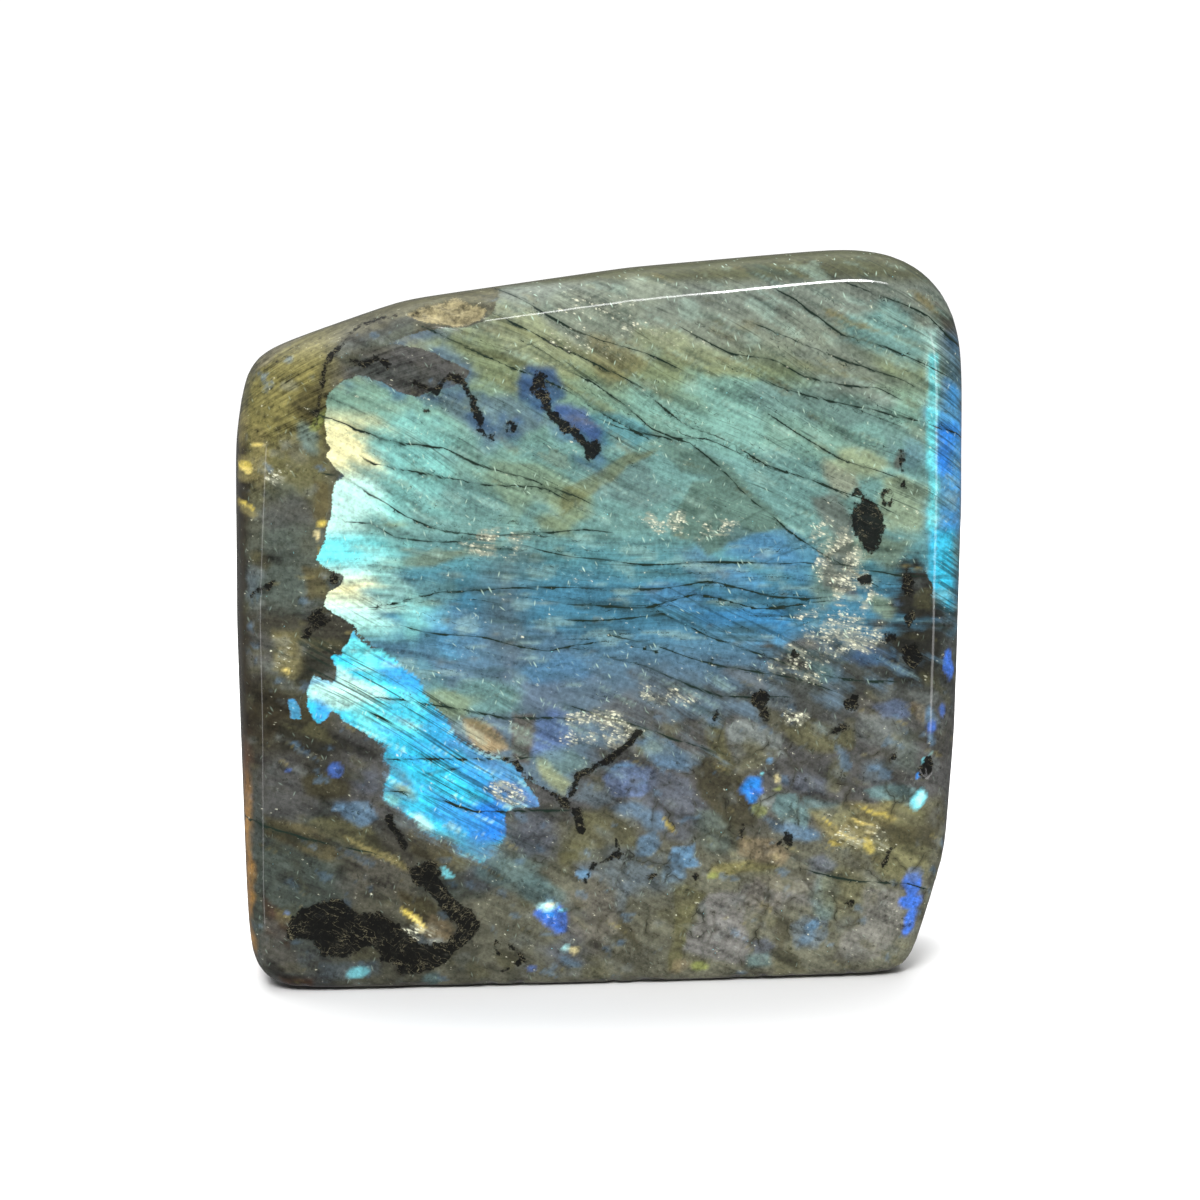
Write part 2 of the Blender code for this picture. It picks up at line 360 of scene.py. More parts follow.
# Patches have a clearer edge: colour, how strongly they show, the blur of their edge in millimetres and their
# outline.
ROCK_PATCHES = (
    ("lead", 0.8, 1.0, ((-58, 39), (-50, 39), (-48.6, 34), (-47, 30), (-52, 28.5), (-57, 29.5))),
    (
        "olive_brown", 0.8, 0.6,
        ((-57, 29.5), (-53, 28.8), (-48, 27), (-43.8, 22.5), (-48, 22.6), (-56.5, 26)),
    ),
    ("olive", 0.8, 0.8, ((-49, 28.5), (-45, 29.2), (-39, 27), (-35, 22.6), (-40, 22.8), (-46, 25.6))),
    ("dark_olive", 0.9, 0.7, ((-50.5, 36.6), (-45, 37), (-42.6, 35), (-42.5, 32), (-47, 31.6), (-50, 33))),
    (
        "soot", 0.75, 0.6,
        ((-54, 45.2), (-48, 44.6), (-44, 42.6), (-37, 39.6), (-39, 38.6), (-48, 40.2), (-54, 40.4)),
    ),
    ("slate_blue", 0.8, 0.5, ((-45, 31.2), (-40, 31.2), (-38.2, 28.4), (-41, 27.4), (-43.6, 29))),
    ("brown", 0.9, 0.4, ((-57.4, 16.4), (-56.8, 10), (-52.4, 7.4), (-52.4, 12), (-55, 14))),
    (
        "warm_grey", 0.6, 0.5,
        ((-58, 10), (-55, 9), (-52, 6.8), (-48.4, 6.4), (-48.2, 3.6), (-54, 3), (-58, 5)),
    ),
    ("slate", 0.7, 0.8, ((-51, 6.4), (-48.6, 6.4), (-48.2, 3.6), (-51, 3.6))),
    ("rust_brown", 0.8, 0.5, ((-55, 3), (-49, 2.4), (-49, 0.4), (-54, 0.4))),
    ("slate", 0.6, 0.5, ((-48, 5), (-38, 5), (-38, 2.6), (-48, 2.4))),
    (
        "olive_brown", 0.8, 0.5,
        ((-35, 16.5), (-30.5, 15.8), (-26.5, 11.5), (-25.4, 9), (-29, 6.8), (-33.5, 11)),
    ),
    ("tan", 0.8, 0.6, ((-29.5, 12.4), (-26.6, 11.2), (-25.4, 9), (-28.6, 7.2), (-30.6, 9))),
    ("slate", 0.7, 0.5, ((-32.8, 10), (-30.2, 8.6), (-29.4, 7), (-31.4, 7.4))),
    (
        "olive_brown", 0.7, 0.5,
        ((-33, 27), (-30, 25.4), (-26, 23.6), (-22.6, 21.3), (-28, 20.8), (-33, 22.6)),
    ),
    ("olive", 0.7, 0.4, ((-8.6, 23.2), (-5, 22.8), (-4.8, 20.4), (-8.2, 20.2))),
    ("slate", 0.8, 0.6, ((-5.6, 31.4), (-4, 33.6), (0, 34), (1, 31), (-2, 29.6))),
    (
        "slate_blue", 0.6, 0.7,
        ((0, 29.6), (4, 30.8), (6.4, 29.8), (9, 29), (9.8, 26.5), (6.8, 26), (5, 28), (1.6, 28.4)),
    ),
    ("periwinkle", 0.85, 0.35, ((-1, 35), (0.4, 37), (3, 37.3), (8, 35.8), (8, 33), (5, 30.9), (1, 31.8))),
    ("violet_grey", 0.8, 0.6, ((7, 36), (13, 34.6), (14, 32), (9, 31), (6.5, 31.6))),
    (
        "slate_blue", 0.8, 0.35,
        ((4.4, 40.4), (7, 41.8), (9.6, 41.2), (12, 39), (14.2, 36.8), (13.4, 35.4), (8, 36.4)),
    ),
    ("leaf", 0.3, 1.0, ((4.6, 40), (7.6, 41.2), (10, 39.4), (7, 38.2), (4.6, 38.6))),
    ("olive", 0.8, 0.6, ((15.6, 46), (18.6, 45.4), (19.8, 40), (21.6, 36), (19.6, 35.3), (16.4, 39))),
    (
        "dark_olive", 0.85, 0.6,
        ((14.4, 36.5), (15, 38.6), (18, 38), (23.4, 33.4), (25, 26.6), (21, 26), (15, 31)),
    ),
    (
        "milk", 0.8, 0.4,
        ((19.3, 43.6), (22, 44.6), (25, 43.2), (28.4, 41.6), (29.6, 38), (26, 39), (19.8, 40.4)),
    ),
    ("grey_olive", 0.8, 0.6, ((19.8, 40.6), (28.6, 39.4), (27, 36.6), (21.6, 35.4))),
    ("olive", 0.7, 0.6, ((29, 43), (34, 44), (41, 42), (41, 39), (34, 38.4), (30, 40.6))),
    ("milk", 0.5, 0.8, ((42, 44.6), (48, 44.6), (50, 42), (47, 38.6), (42, 41))),
    ("periwinkle", 0.5, 0.4, ((44, 46.2), (48, 46.9), (50.6, 46), (50.4, 44.4), (46, 44.2))),
    ("tan", 0.7, 0.4, ((51, 46.4), (53.2, 46), (53.4, 43), (51.6, 44))),
    ("violet_grey", 0.8, 0.6, ((29.4, 34.6), (33, 35.4), (38, 33), (36, 31), (29.4, 32.6))),
    ("sea_grey", 0.8, 0.4, ((27.4, 31.2), (31.4, 31.2), (33.4, 28), (33, 26), (29, 26.4), (27.2, 28.6))),
    ("slate_blue", 0.8, 0.5, ((25.4, 28.2), (29, 26.6), (34, 25.6), (35.6, 23.8), (31, 24), (28, 25))),
    ("sea_grey", 0.8, 0.4, ((33, 30.6), (38, 29.7), (42, 28.4), (39, 26.4), (35, 27.6), (33.4, 28.6))),
    (
        "brass", 0.75, 0.6,
        ((40.6, 29.6), (47, 29.8), (48.6, 27), (45, 24.6), (42, 22), (37, 24.4), (33.6, 28.4)),
    ),
    ("sea_grey", 0.8, 0.35, ((42.6, 31.9), (46, 32.8), (51.4, 32.4), (51.8, 28.8), (47, 29.7), (44, 30.8))),
    ("dark_olive", 0.7, 0.6, ((45.6, 26), (49, 26.6), (56, 25.8), (55, 22.4), (47, 22.6))),
    ("dark_olive", 0.6, 0.6, ((19.6, 27), (23, 27), (23, 22.6), (20, 22))),
    ("slate_blue", 0.8, 0.35, ((4.6, 21.6), (5, 25), (7.6, 26), (8.8, 23.6), (7.6, 21.8))),
    ("clear_blue", 0.8, 0.35, ((10.4, 20.5), (11, 22.8), (14.3, 23.8), (14, 21.2), (15, 20), (12.5, 19.6))),
    ("clear_blue", 0.5, 0.4, ((8.8, 18), (10, 20), (12.6, 19.4), (12.6, 17.8), (9.6, 16.6))),
    ("tan", 0.7, 0.5, ((22, 24.6), (27, 24), (30.4, 21.4), (29, 20), (24, 20.4), (21.4, 21.6))),
    ("moss_olive", 0.75, 0.4, ((16.4, 18.2), (17.4, 20), (24, 20.4), (28.4, 19.2), (24, 18.6), (18, 17.6))),
    ("violet_grey", 0.8, 0.5, ((33.6, 20.6), (36, 21.2), (38.6, 19.4), (37.6, 17.6), (33.6, 18))),
    (
        "olive", 0.8, 0.4,
        ((10.6, 16.4), (13, 17.2), (16.4, 15), (14, 12), (12.5, 6), (12, 1.6), (9.6, 1.6), (11, 7)),
    ),
    (
        "deep_blue", 0.85, 0.4,
        (
            (-12.4, 12.2), (-11.5, 13.4), (-10, 14.3), (-8.4, 14), (-7, 12.4), (-7, 9.6), (-8.6, 9.2),
            (-10, 10.2),
        ),
    ),
    (
        "soot", 0.85, 1.0,
        (
            (47, 72), (51, 73.4), (55.4, 70.6), (56.4, 62), (56, 53), (54, 49.4), (49.5, 49), (47, 51),
            (46.4, 58), (46.8, 64),
        ),
    ),
    (
        "rose_grey", 0.85, 0.5,
        (
            (12.7, 5.4), (13, 8.4), (14.8, 10), (15, 13), (17, 14.6), (22.7, 15), (22.9, 10.4), (23.5, 7),
            (23.2, 2.8),
        ),
    ),
    ("warm_grey", 0.8, 0.35, ((23, 15), (24.6, 17.5), (29, 18), (29, 13), (26.6, 12), (23.4, 11.6))),
    ("dark_olive", 0.6, 0.5, ((28.2, 10.4), (30.4, 10.4), (30.6, 7.4), (29, 5), (27.6, 7))),
    ("violet_grey", 0.8, 0.4, ((24.2, 7.4), (26.6, 7.6), (27.8, 6), (26.6, 4.8), (24.4, 5))),
    ("sea_grey", 0.7, 0.5, ((23.4, 4.6), (26.4, 4.8), (27.4, 2.8), (23.2, 2.4))),
    ("slate", 0.7, 0.35, ((30.6, 9.6), (33, 10.8), (36.4, 10), (37, 7.6), (35, 5), (31.6, 5.4))),
    ("rose_grey", 0.5, 0.8, ((43, 15), (49, 15), (50, 8), (46, 3.4), (38, 3.4), (40, 8), (43.4, 9))),
    (
        "black_brown", 0.6, 1.0,
        ((-51.8, 96.5), (-50.6, 99.4), (-46.8, 100.6), (-46.6, 96.4), (-49, 93), (-51.6, 95)),
    ),
    ("olive_brown", 0.8, 0.4, ((-48.4, 84.4), (-46.2, 84), (-45.6, 80), (-46.6, 77.4), (-48, 78))),
    ("olive_brown", 0.8, 0.5, ((-49.8, 70.2), (-46.4, 69.8), (-45.8, 65), (-49.6, 65))),
    ("dark_olive", 0.8, 0.5, ((-59.3, 73), (-56, 72.8), (-55, 71), (-56.6, 69.4), (-59.2, 71.4))),
    ("brass", 0.6, 0.7, ((-58.8, 93.4), (-56, 93), (-55.2, 86), (-56.4, 82.4), (-58.2, 83), (-58.6, 88))),
    ("brass", 0.5, 0.6, ((-55.2, 60), (-51, 59.4), (-49.6, 54), (-52, 52.4), (-54.8, 54))),
    (
        "umber_grey", 0.9, 0.5,
        ((-50, 63.6), (-45.8, 63.6), (-41, 60), (-43, 57), (-45.6, 55.4), (-49.6, 57)),
    ),
    ("soot", 0.8, 0.8, ((-50, 56), (-45.4, 55), (-45, 51.6), (-48, 52.8), (-50.6, 52))),
)
# Patches that come again and again in the rock: colour, thickness, stretch along the planes, the spreads
# above the mean at which they start and are full, and how strongly they show.
ROCK_VARIETY = (
    ("umber_grey", 5.0, 1.6, 0.4, 1.6, 0.4),
    ("olive", 4.0, 1.8, 0.9, 1.8, 0.35),
    ("milk", 3.4, 1.4, 1.0, 2.0, 0.3),
    ("soot", 2.6, 2.4, 1.2, 2.0, 0.55),
    ("soot", 1.3, 8.0, 1.1, 2.2, 0.45),
    ("slate_blue", 2.6, 1.5, 1.6, 2.3, 0.4),
    ("brass", 1.4, 5.0, 2.0, 2.7, 0.5),
)
# Small marks over those.
ROCK_MARKS = (
    ("brass", (-60.8, 93.4), 1.2, 2.6, 0, 0.7),
    ("brass", (-59.6, 87), 2, 1.6, 0, 0.6),
    ("gold", (-60.2, 87.2), 1.3, 0.35, -8, 0.9),
    ("bright_gold", (-59.4, 86.4), 0.9, 0.2, -14, 0.8),
    ("gold", (-59.8, 80.4), 1.8, 0.3, -22, 0.9),
    ("brass", (-59.6, 79.6), 1.8, 0.7, -22, 0.6),
    ("bright_gold", (-58, 90.6), 2, 0.25, -10, 0.8),
    ("gold", (-46.8, 77.4), 0.7, 0.5, 20, 0.9),
    ("cream", (-47.7, 75.4), 0.35, 0.9, 0, 0.9),
    ("brass", (-47.4, 73), 0.35, 1.4, 0, 0.8),
    ("leaf", (-47.6, 94.2), 0.7, 1.5, -35, 0.7),
    ("bright_gold", (-53, 53.4), 1.3, 0.6, -20, 0.8),
    ("mid_blue", (-45.2, 36.8), 0.8, 1.0, 0, 0.6),
    ("mid_blue", (-52.8, 37.3), 0.5, 0.3, 0, 0.5),
    ("slate_blue", (-44.4, 30.4), 0.8, 0.4, 0, 0.8),
    ("periwinkle", (-53.3, 13.2), 1.0, 0.6, 0, 0.7),
    ("cyan", (-42.3, 3), 1.5, 0.8, 0, 0.55),
    ("brass", (-37.6, 22.6), 3.6, 0.5, -30, 0.8),
    ("brass", (-41.5, 24.6), 3, 0.4, -30, 0.6),
    ("gold", (-33, 12.6), 1.6, 0.35, -38, 0.9),
    ("bright_gold", (-31.4, 11), 1.7, 0.35, -42, 0.9),
    ("cream", (-31, 9.8), 0.9, 0.3, -42, 0.7),
    ("milk", (-29, 7.8), 1.3, 0.7, 0, 0.7),
    ("cyan", (-26.8, 19.8), 1.5, 0.5, -45, 0.8),
    ("pale_cyan", (-10.5, 13.2), 1.8, 0.8, 10, 0.9),
    ("cream", (-10, 13.6), 0.9, 0.3, 10, 0.7),
    ("bright_blue", (-10, 12), 1.8, 0.8, -10, 0.9),
    ("cyan", (-7.8, 12.6), 0.8, 0.25, 0, 0.7),
    ("pale_cyan", (-7.3, 6.6), 1.0, 0.9, -20, 0.8),
    ("cream", (-6.1, 6.3), 1.1, 0.8, -10, 0.9),
    ("slate_blue", (-6.8, 4.4), 2.2, 0.9, -20, 0.6),
    ("mid_blue", (-12.6, 3.3), 0.9, 0.7, 0, 0.5),
    ("clear_blue", (-4.2, 18.6), 1.0, 0.7, -30, 0.7),
    ("clear_blue", (2.2, 36.8), 1.8, 0.4, 0, 0.6),
    ("bright_blue", (24.4, 33.4), 1.9, 1.3, 35, 0.95),
    ("bright_blue", (24.2, 31.6), 1.0, 1.5, -20, 0.9),
    ("deep_blue", (24.6, 32), 1.3, 0.5, 0, 0.5),
    ("cyan", (25.6, 34.9), 1.0, 0.45, 40, 0.7),
    ("clear_blue", (27, 37.4), 0.8, 0.6, 30, 0.9),
    ("cream", (28, 34.2), 1.2, 1.8, 10, 0.9),
    ("leaf", (28.2, 32.4), 1.1, 0.6, 0, 0.8),
    ("milk", (26.4, 30.5), 1.1, 0.8, 0, 0.9),
    ("leaf", (25.2, 28.8), 1.1, 0.8, -20, 0.5),
    ("gold", (44, 28.4), 3.2, 0.4, -20, 0.7),
    ("bright_gold", (42.4, 26.6), 2.6, 0.4, -24, 0.8),
    ("bright_gold", (39.6, 24.8), 2.2, 0.4, -26, 0.8),
    ("gold", (36.8, 26.8), 2.4, 0.35, -24, 0.8),
    ("cream", (43.8, 24.7), 1.8, 0.35, -22, 0.7),
    ("gold", (38, 23.4), 1.8, 0.35, -24, 0.7),
    ("gold", (43.8, 22.8), 0.7, 1.1, 20, 0.6),
    ("cream", (28.4, 21), 1.3, 0.8, -20, 0.5),
    ("leaf", (17.4, 18.2), 1.0, 0.7, 0, 0.7),
    ("gold", (9.9, 26.9), 0.35, 1.3, 35, 0.8),
    ("cyan", (52.3, 30.5), 0.9, 1.3, -10, 0.95),
    ("pale_cyan", (52.6, 30.6), 0.4, 0.9, -10, 0.8),
    ("cyan", (54.4, 37.6), 0.3, 0.8, -15, 0.9),
    ("cyan", (53, 36.8), 0.3, 0.4, 0, 0.8),
    ("bright_blue", (51.8, 34.2), 0.4, 0.4, 0, 0.9),
    ("slate_blue", (54.2, 44.4), 0.7, 1.6, 0, 0.8),
    ("mid_blue", (54.6, 42.4), 0.9, 1.2, 0, 0.8),
    ("slate_blue", (54.4, 40.2), 0.6, 1.4, 0, 0.7),
    ("mid_blue", (56.4, 45), 0.5, 1.2, 0, 0.6),
    ("deep_blue", (57.6, 53), 0.7, 2.2, 0, 0.85),
    ("deep_blue", (51.2, 15.6), 1.3, 1.4, 0, 0.85),
    ("deep_blue", (51, 13), 1.8, 1.0, 0, 0.9),
    ("deep_blue", (50.8, 9.4), 0.9, 2.0, -14, 0.9),
    ("periwinkle", (51.6, 17.4), 1.2, 0.9, 0, 0.6),
    ("clear_blue", (34.2, 9), 1.3, 1.1, 0, 0.7),
    ("clear_blue", (33.6, 7), 1.0, 0.9, 0, 0.3),
    ("milk", (15.6, 12.2), 0.7, 1.3, 0, 0.7),
    ("leaf", (15, 2.9), 1.3, 0.7, 0, 0.8),
    ("tan", (12, 3.2), 1.8, 1.2, 0, 0.5),
)
# Along the rim of the left wall the rock is brown where light comes through it: golden low down and darker
# above.
RIM_BANDS = (
    (0, "rust_brown"), (6, "honey"), (30, "honey"), (38, "rust_brown"), (44, "black_brown"),
    (92, "black_brown"), (98, "olive"),
)
RIM_STARTS = (-58.6, -60.4)
RIM_STRENGTH = 0.9
MARGIN_STARTS = (-42.0, -48.0)
MARK_SOFTNESS = 0.3
ROCK_SEED = 10.0


def banded(bands, tints):
    """The colour of each place in bands that lie one over another and blend into each other."""
    heights = [height for height, _ in bands]
    colours = np.array([tints[name] for _, name in bands])
    return np.stack([np.interp(up, heights, colours[:, channel]) for channel in range(3)], axis=1)


def washed(paint, colour, amount):
    """A layer of colour with another washed over it."""
    return paint + (colour - paint) * amount[:, None]


def clouded(paint, tints, clouds, softness=0.4):
    """A layer of colour with clouds in it."""
    for name, *shape, strength in clouds:
        paint = washed(paint, tints[name], oval(*shape, softness) * strength)
    return paint


def patched(paint, tints, patches):
    """A layer of colour with outlined patches in it."""
    for name, strength, blur, outline in patches:
        paint = washed(paint, tints[name], area(outline, blur) * strength)
    return paint


def varied(paint, tints, variety, seed):
    """A layer of colour with the patches in it that come again and again."""
    for i, (name, span, stretch, low, high, strength) in enumerate(variety):
        paint = washed(paint, tints[name], eased(low, high, layered(span, stretch, seed + i)) * strength)
    return paint


rock = banded(LOWER_BANDS, ROCK_TINTS)
rock = washed(rock, banded(MARGIN_BANDS, ROCK_TINTS), eased(*MARGIN_STARTS, across))
rock = clouded(rock, ROCK_TINTS, ROCK_CLOUDS)
rock = patched(rock, ROCK_TINTS, ROCK_PATCHES)
rock = varied(rock, ROCK_TINTS, ROCK_VARIETY, ROCK_SEED)
for *shape, strength in ROCK_SHADES:
    rock = rock * (1.0 + strength * oval(*shape)[:, None])
rim_share = eased(*RIM_STARTS, across + 0.4 * ragged) * RIM_STRENGTH
rock = washed(rock, banded(RIM_BANDS, ROCK_TINTS), rim_share)
rock = clouded(rock, ROCK_TINTS, ROCK_MARKS, MARK_SOFTNESS)

# The flashing sheet: fine layers in the feldspar that throw back one colour each, gold and green near the
# top, then teal, blue and slate, with a brilliant strip at its left edge. It ends at ragged breaks in the
# crystal on the left and fades into the clouds at the lower right.
FLASH_TINTS = {
    "rim_olive": tint(82, 86, 60),
    "sage": tint(136, 146, 128),
    "grey_sage": tint(122, 132, 120),
    "leaf": tint(128, 142, 106),
    "olive_green": tint(112, 116, 78),
    "brown_olive": tint(124, 114, 70),
    "straw": tint(150, 158, 118),
    "sea_green": tint(124, 162, 144),
    "light_teal": tint(130, 178, 166),
    "teal": tint(112, 154, 148),
    "moss": tint(88, 112, 98),
    "grey_teal": tint(104, 132, 128),
    "sea_blue": tint(86, 140, 148),
    "blue": tint(68, 122, 146),
    "clear_blue": tint(64, 134, 182),
    "pale_blue": tint(92, 154, 192),
    "haze_blue": tint(88, 122, 144),
    "slate": tint(92, 112, 126),
    "violet_slate": tint(94, 112, 130),
    "smoke": tint(74, 80, 82),
    "night_blue": tint(44, 80, 128),
    "indigo": tint(58, 68, 138),
    "cream": tint(240, 236, 180),
    "pale_aqua": tint(194, 244, 232),
    "aqua": tint(140, 214, 206),
    "cyan": tint(120, 238, 244),
    "sky": tint(60, 206, 244),
    "azure": tint(66, 166, 242),
    "royal": tint(40, 136, 242),
    "dull_blue": tint(94, 122, 178),
    "steel": tint(76, 130, 168),
    "tan": tint(168, 146, 104),
    "brown_grey": tint(96, 90, 80),
    "dark_teal": tint(46, 66, 58),
    "mist": tint(168, 200, 184),
}
SHEET_BANDS = (
    (36, "slate"), (44, "slate"), (49, "slate"), (54, "haze_blue"), (61, "blue"), (66, "blue"),
    (71, "sea_blue"), (76, "teal"), (82, "teal"), (88, "teal"), (96, "sea_green"), (102, "leaf"),
    (107, "sage"), (113, "grey_sage"), (116, "grey_sage"), (118, "rim_olive"),
)
FLASH_CLOUDS = (
    ("sage", (-6, 112), 20, 3, 10, 0.8),
    ("straw", (-12, 106), 12, 4, -20, 0.7),
    ("leaf", (-19, 103), 9, 4, -25, 0.8),
    ("straw", (14, 104), 9, 3, -15, 0.6),
    ("leaf", (12, 102), 8, 2.4, -15, 0.7),
    ("sea_green", (9, 95), 6, 3, -25, 0.6),
    ("light_teal", (22, 97), 10, 3.6, -25, 0.8),
    ("light_teal", (17, 92), 10, 3, -27, 0.6),
    ("grey_teal", (38, 95), 12, 6, -15, 0.7),
    ("grey_sage", (40, 102), 11, 4.4, -20, 0.8),
    ("sea_green", (36, 89), 9, 4, -22, 0.7),
    ("teal", (47, 108), 7, 4, -25, 0.9),
    ("light_teal", (43, 92), 3, 1.6, 0, 0.5),
    ("leaf", (-7, 79.5), 4, 3.4, 20, 0.8),
    ("sea_green", (-17, 86), 10, 4, -15, 0.6),
    ("leaf", (-12, 83), 7, 3, -12, 0.5),
    ("aqua", (-30, 92), 6, 5, -15, 0.35),
    ("sea_green", (-40, 98), 6, 2.4, 0, 0.8),
    ("aqua", (-35, 86), 7, 8, -10, 0.5),
    ("aqua", (-36, 79), 4, 3, 0, 0.5),
    ("leaf", (-36, 77.2), 3, 0.8, 0, 0.6),
    ("olive_green", (-31, 71.4), 8, 1.2, 8, 0.6),
    ("pale_aqua", (-38, 67), 5, 5, -15, 0.6),
    ("aqua", (-37, 72), 5, 4, 0, 0.5),
    ("aqua", (-33, 60), 4, 5, -30, 0.6),
    ("sea_blue", (-31, 54), 6, 4, -30, 0.5),
    ("pale_blue", (-26, 59), 4, 3.4, -10, 0.6),
    ("teal", (-30, 66.4), 6, 2, 0, 0.5),
    ("haze_blue", (-22, 60), 3, 4, 0, 0.6),
    ("violet_slate", (-12, 51), 8, 5, -10, 0.7),
    ("haze_blue", (-11, 56), 6, 3.4, 0, 0.8),
    ("steel", (-8, 53), 4, 2.4, 0, 0.5),
    ("teal", (-22, 49), 6, 3.4, -8, 0.8),
    ("leaf", (-25.6, 47.8), 3, 2, -10, 0.7),
    ("dull_blue", (-9.6, 42.6), 3, 3.2, -20, 0.6),
    ("grey_teal", (-6, 37), 4, 2.6, -20, 0.7),
    ("sea_blue", (-3, 72.2), 3.6, 1.1, -5, 0.7),
    ("sea_blue", (4, 68.8), 3.4, 1.3, -10, 0.5),
    ("haze_blue", (17, 69), 5, 2.2, -10, 0.6),
    ("pale_blue", (23, 67.6), 4, 1.6, -5, 0.5),
    ("steel", (12, 65), 7, 1.8, -10, 0.7),
    ("clear_blue", (24, 60.6), 7, 1.7, -8, 0.9),
    ("pale_blue", (25.6, 57), 3.6, 0.7, 5, 0.8),
    ("pale_blue", (33.6, 59), 3, 1.2, -10, 0.5),
    ("steel", (27, 71.4), 7, 4, -15, 0.7),
    ("brown_grey", (3, 46.6), 7, 3, -10, 0.55),
    ("brown_grey", (10, 50), 5, 2.4, -15, 0.3),
    ("smoke", (38, 56), 6, 3, -10, 0.6),
    ("night_blue", (44, 54), 4, 2, 0, 0.5),
    ("brown_grey", (33, 56.4), 2, 1, 0, 0.7),
    ("grey_teal", (33.4, 53), 4, 1.8, -10, 0.7),
    ("brown_grey", (22, 51.6), 4, 1.4, -25, 0.5),
    ("leaf", (36, 67), 2.4, 5, 0, 0.5),
    ("straw", (42, 86.6), 5.4, 2, -8, 0.7),
    ("straw", (49.6, 79), 4, 4.6, 0, 0.6),
    ("olive_green", (47, 72), 4, 2.6, -20, 0.6),
    ("leaf", (46, 62.6), 2.2, 1.4, -20, 0.7),
    ("straw", (41, 72), 3, 2, 0, 0.4),
    ("haze_blue", (50.6, 88), 2.6, 2.4, -20, 0.5),
    ("brown_grey", (48.4, 87.4), 1.0, 1.8, -20, 0.8),
)
# Along the left edge of the sheet the flash is at its brightest, cream at the top and cyan below.
STRIP_BANDS = (
    (58, "aqua"), (63, "pale_aqua"), (67, "cream"), (69.4, "pale_aqua"), (71.6, "cyan"), (74.4, "cyan"),
    (76.4, "pale_aqua"), (84, "pale_aqua"), (87, "cream"), (93, "cream"), (97, "sea_green"),
)
STRIP_WIDTH = 9.5
STRIP_ENDS = (-33.0, -38.0)
STRIP_TOP = (99.0, 94.0)
STRIP_FOOT = (57.0, 61.0)
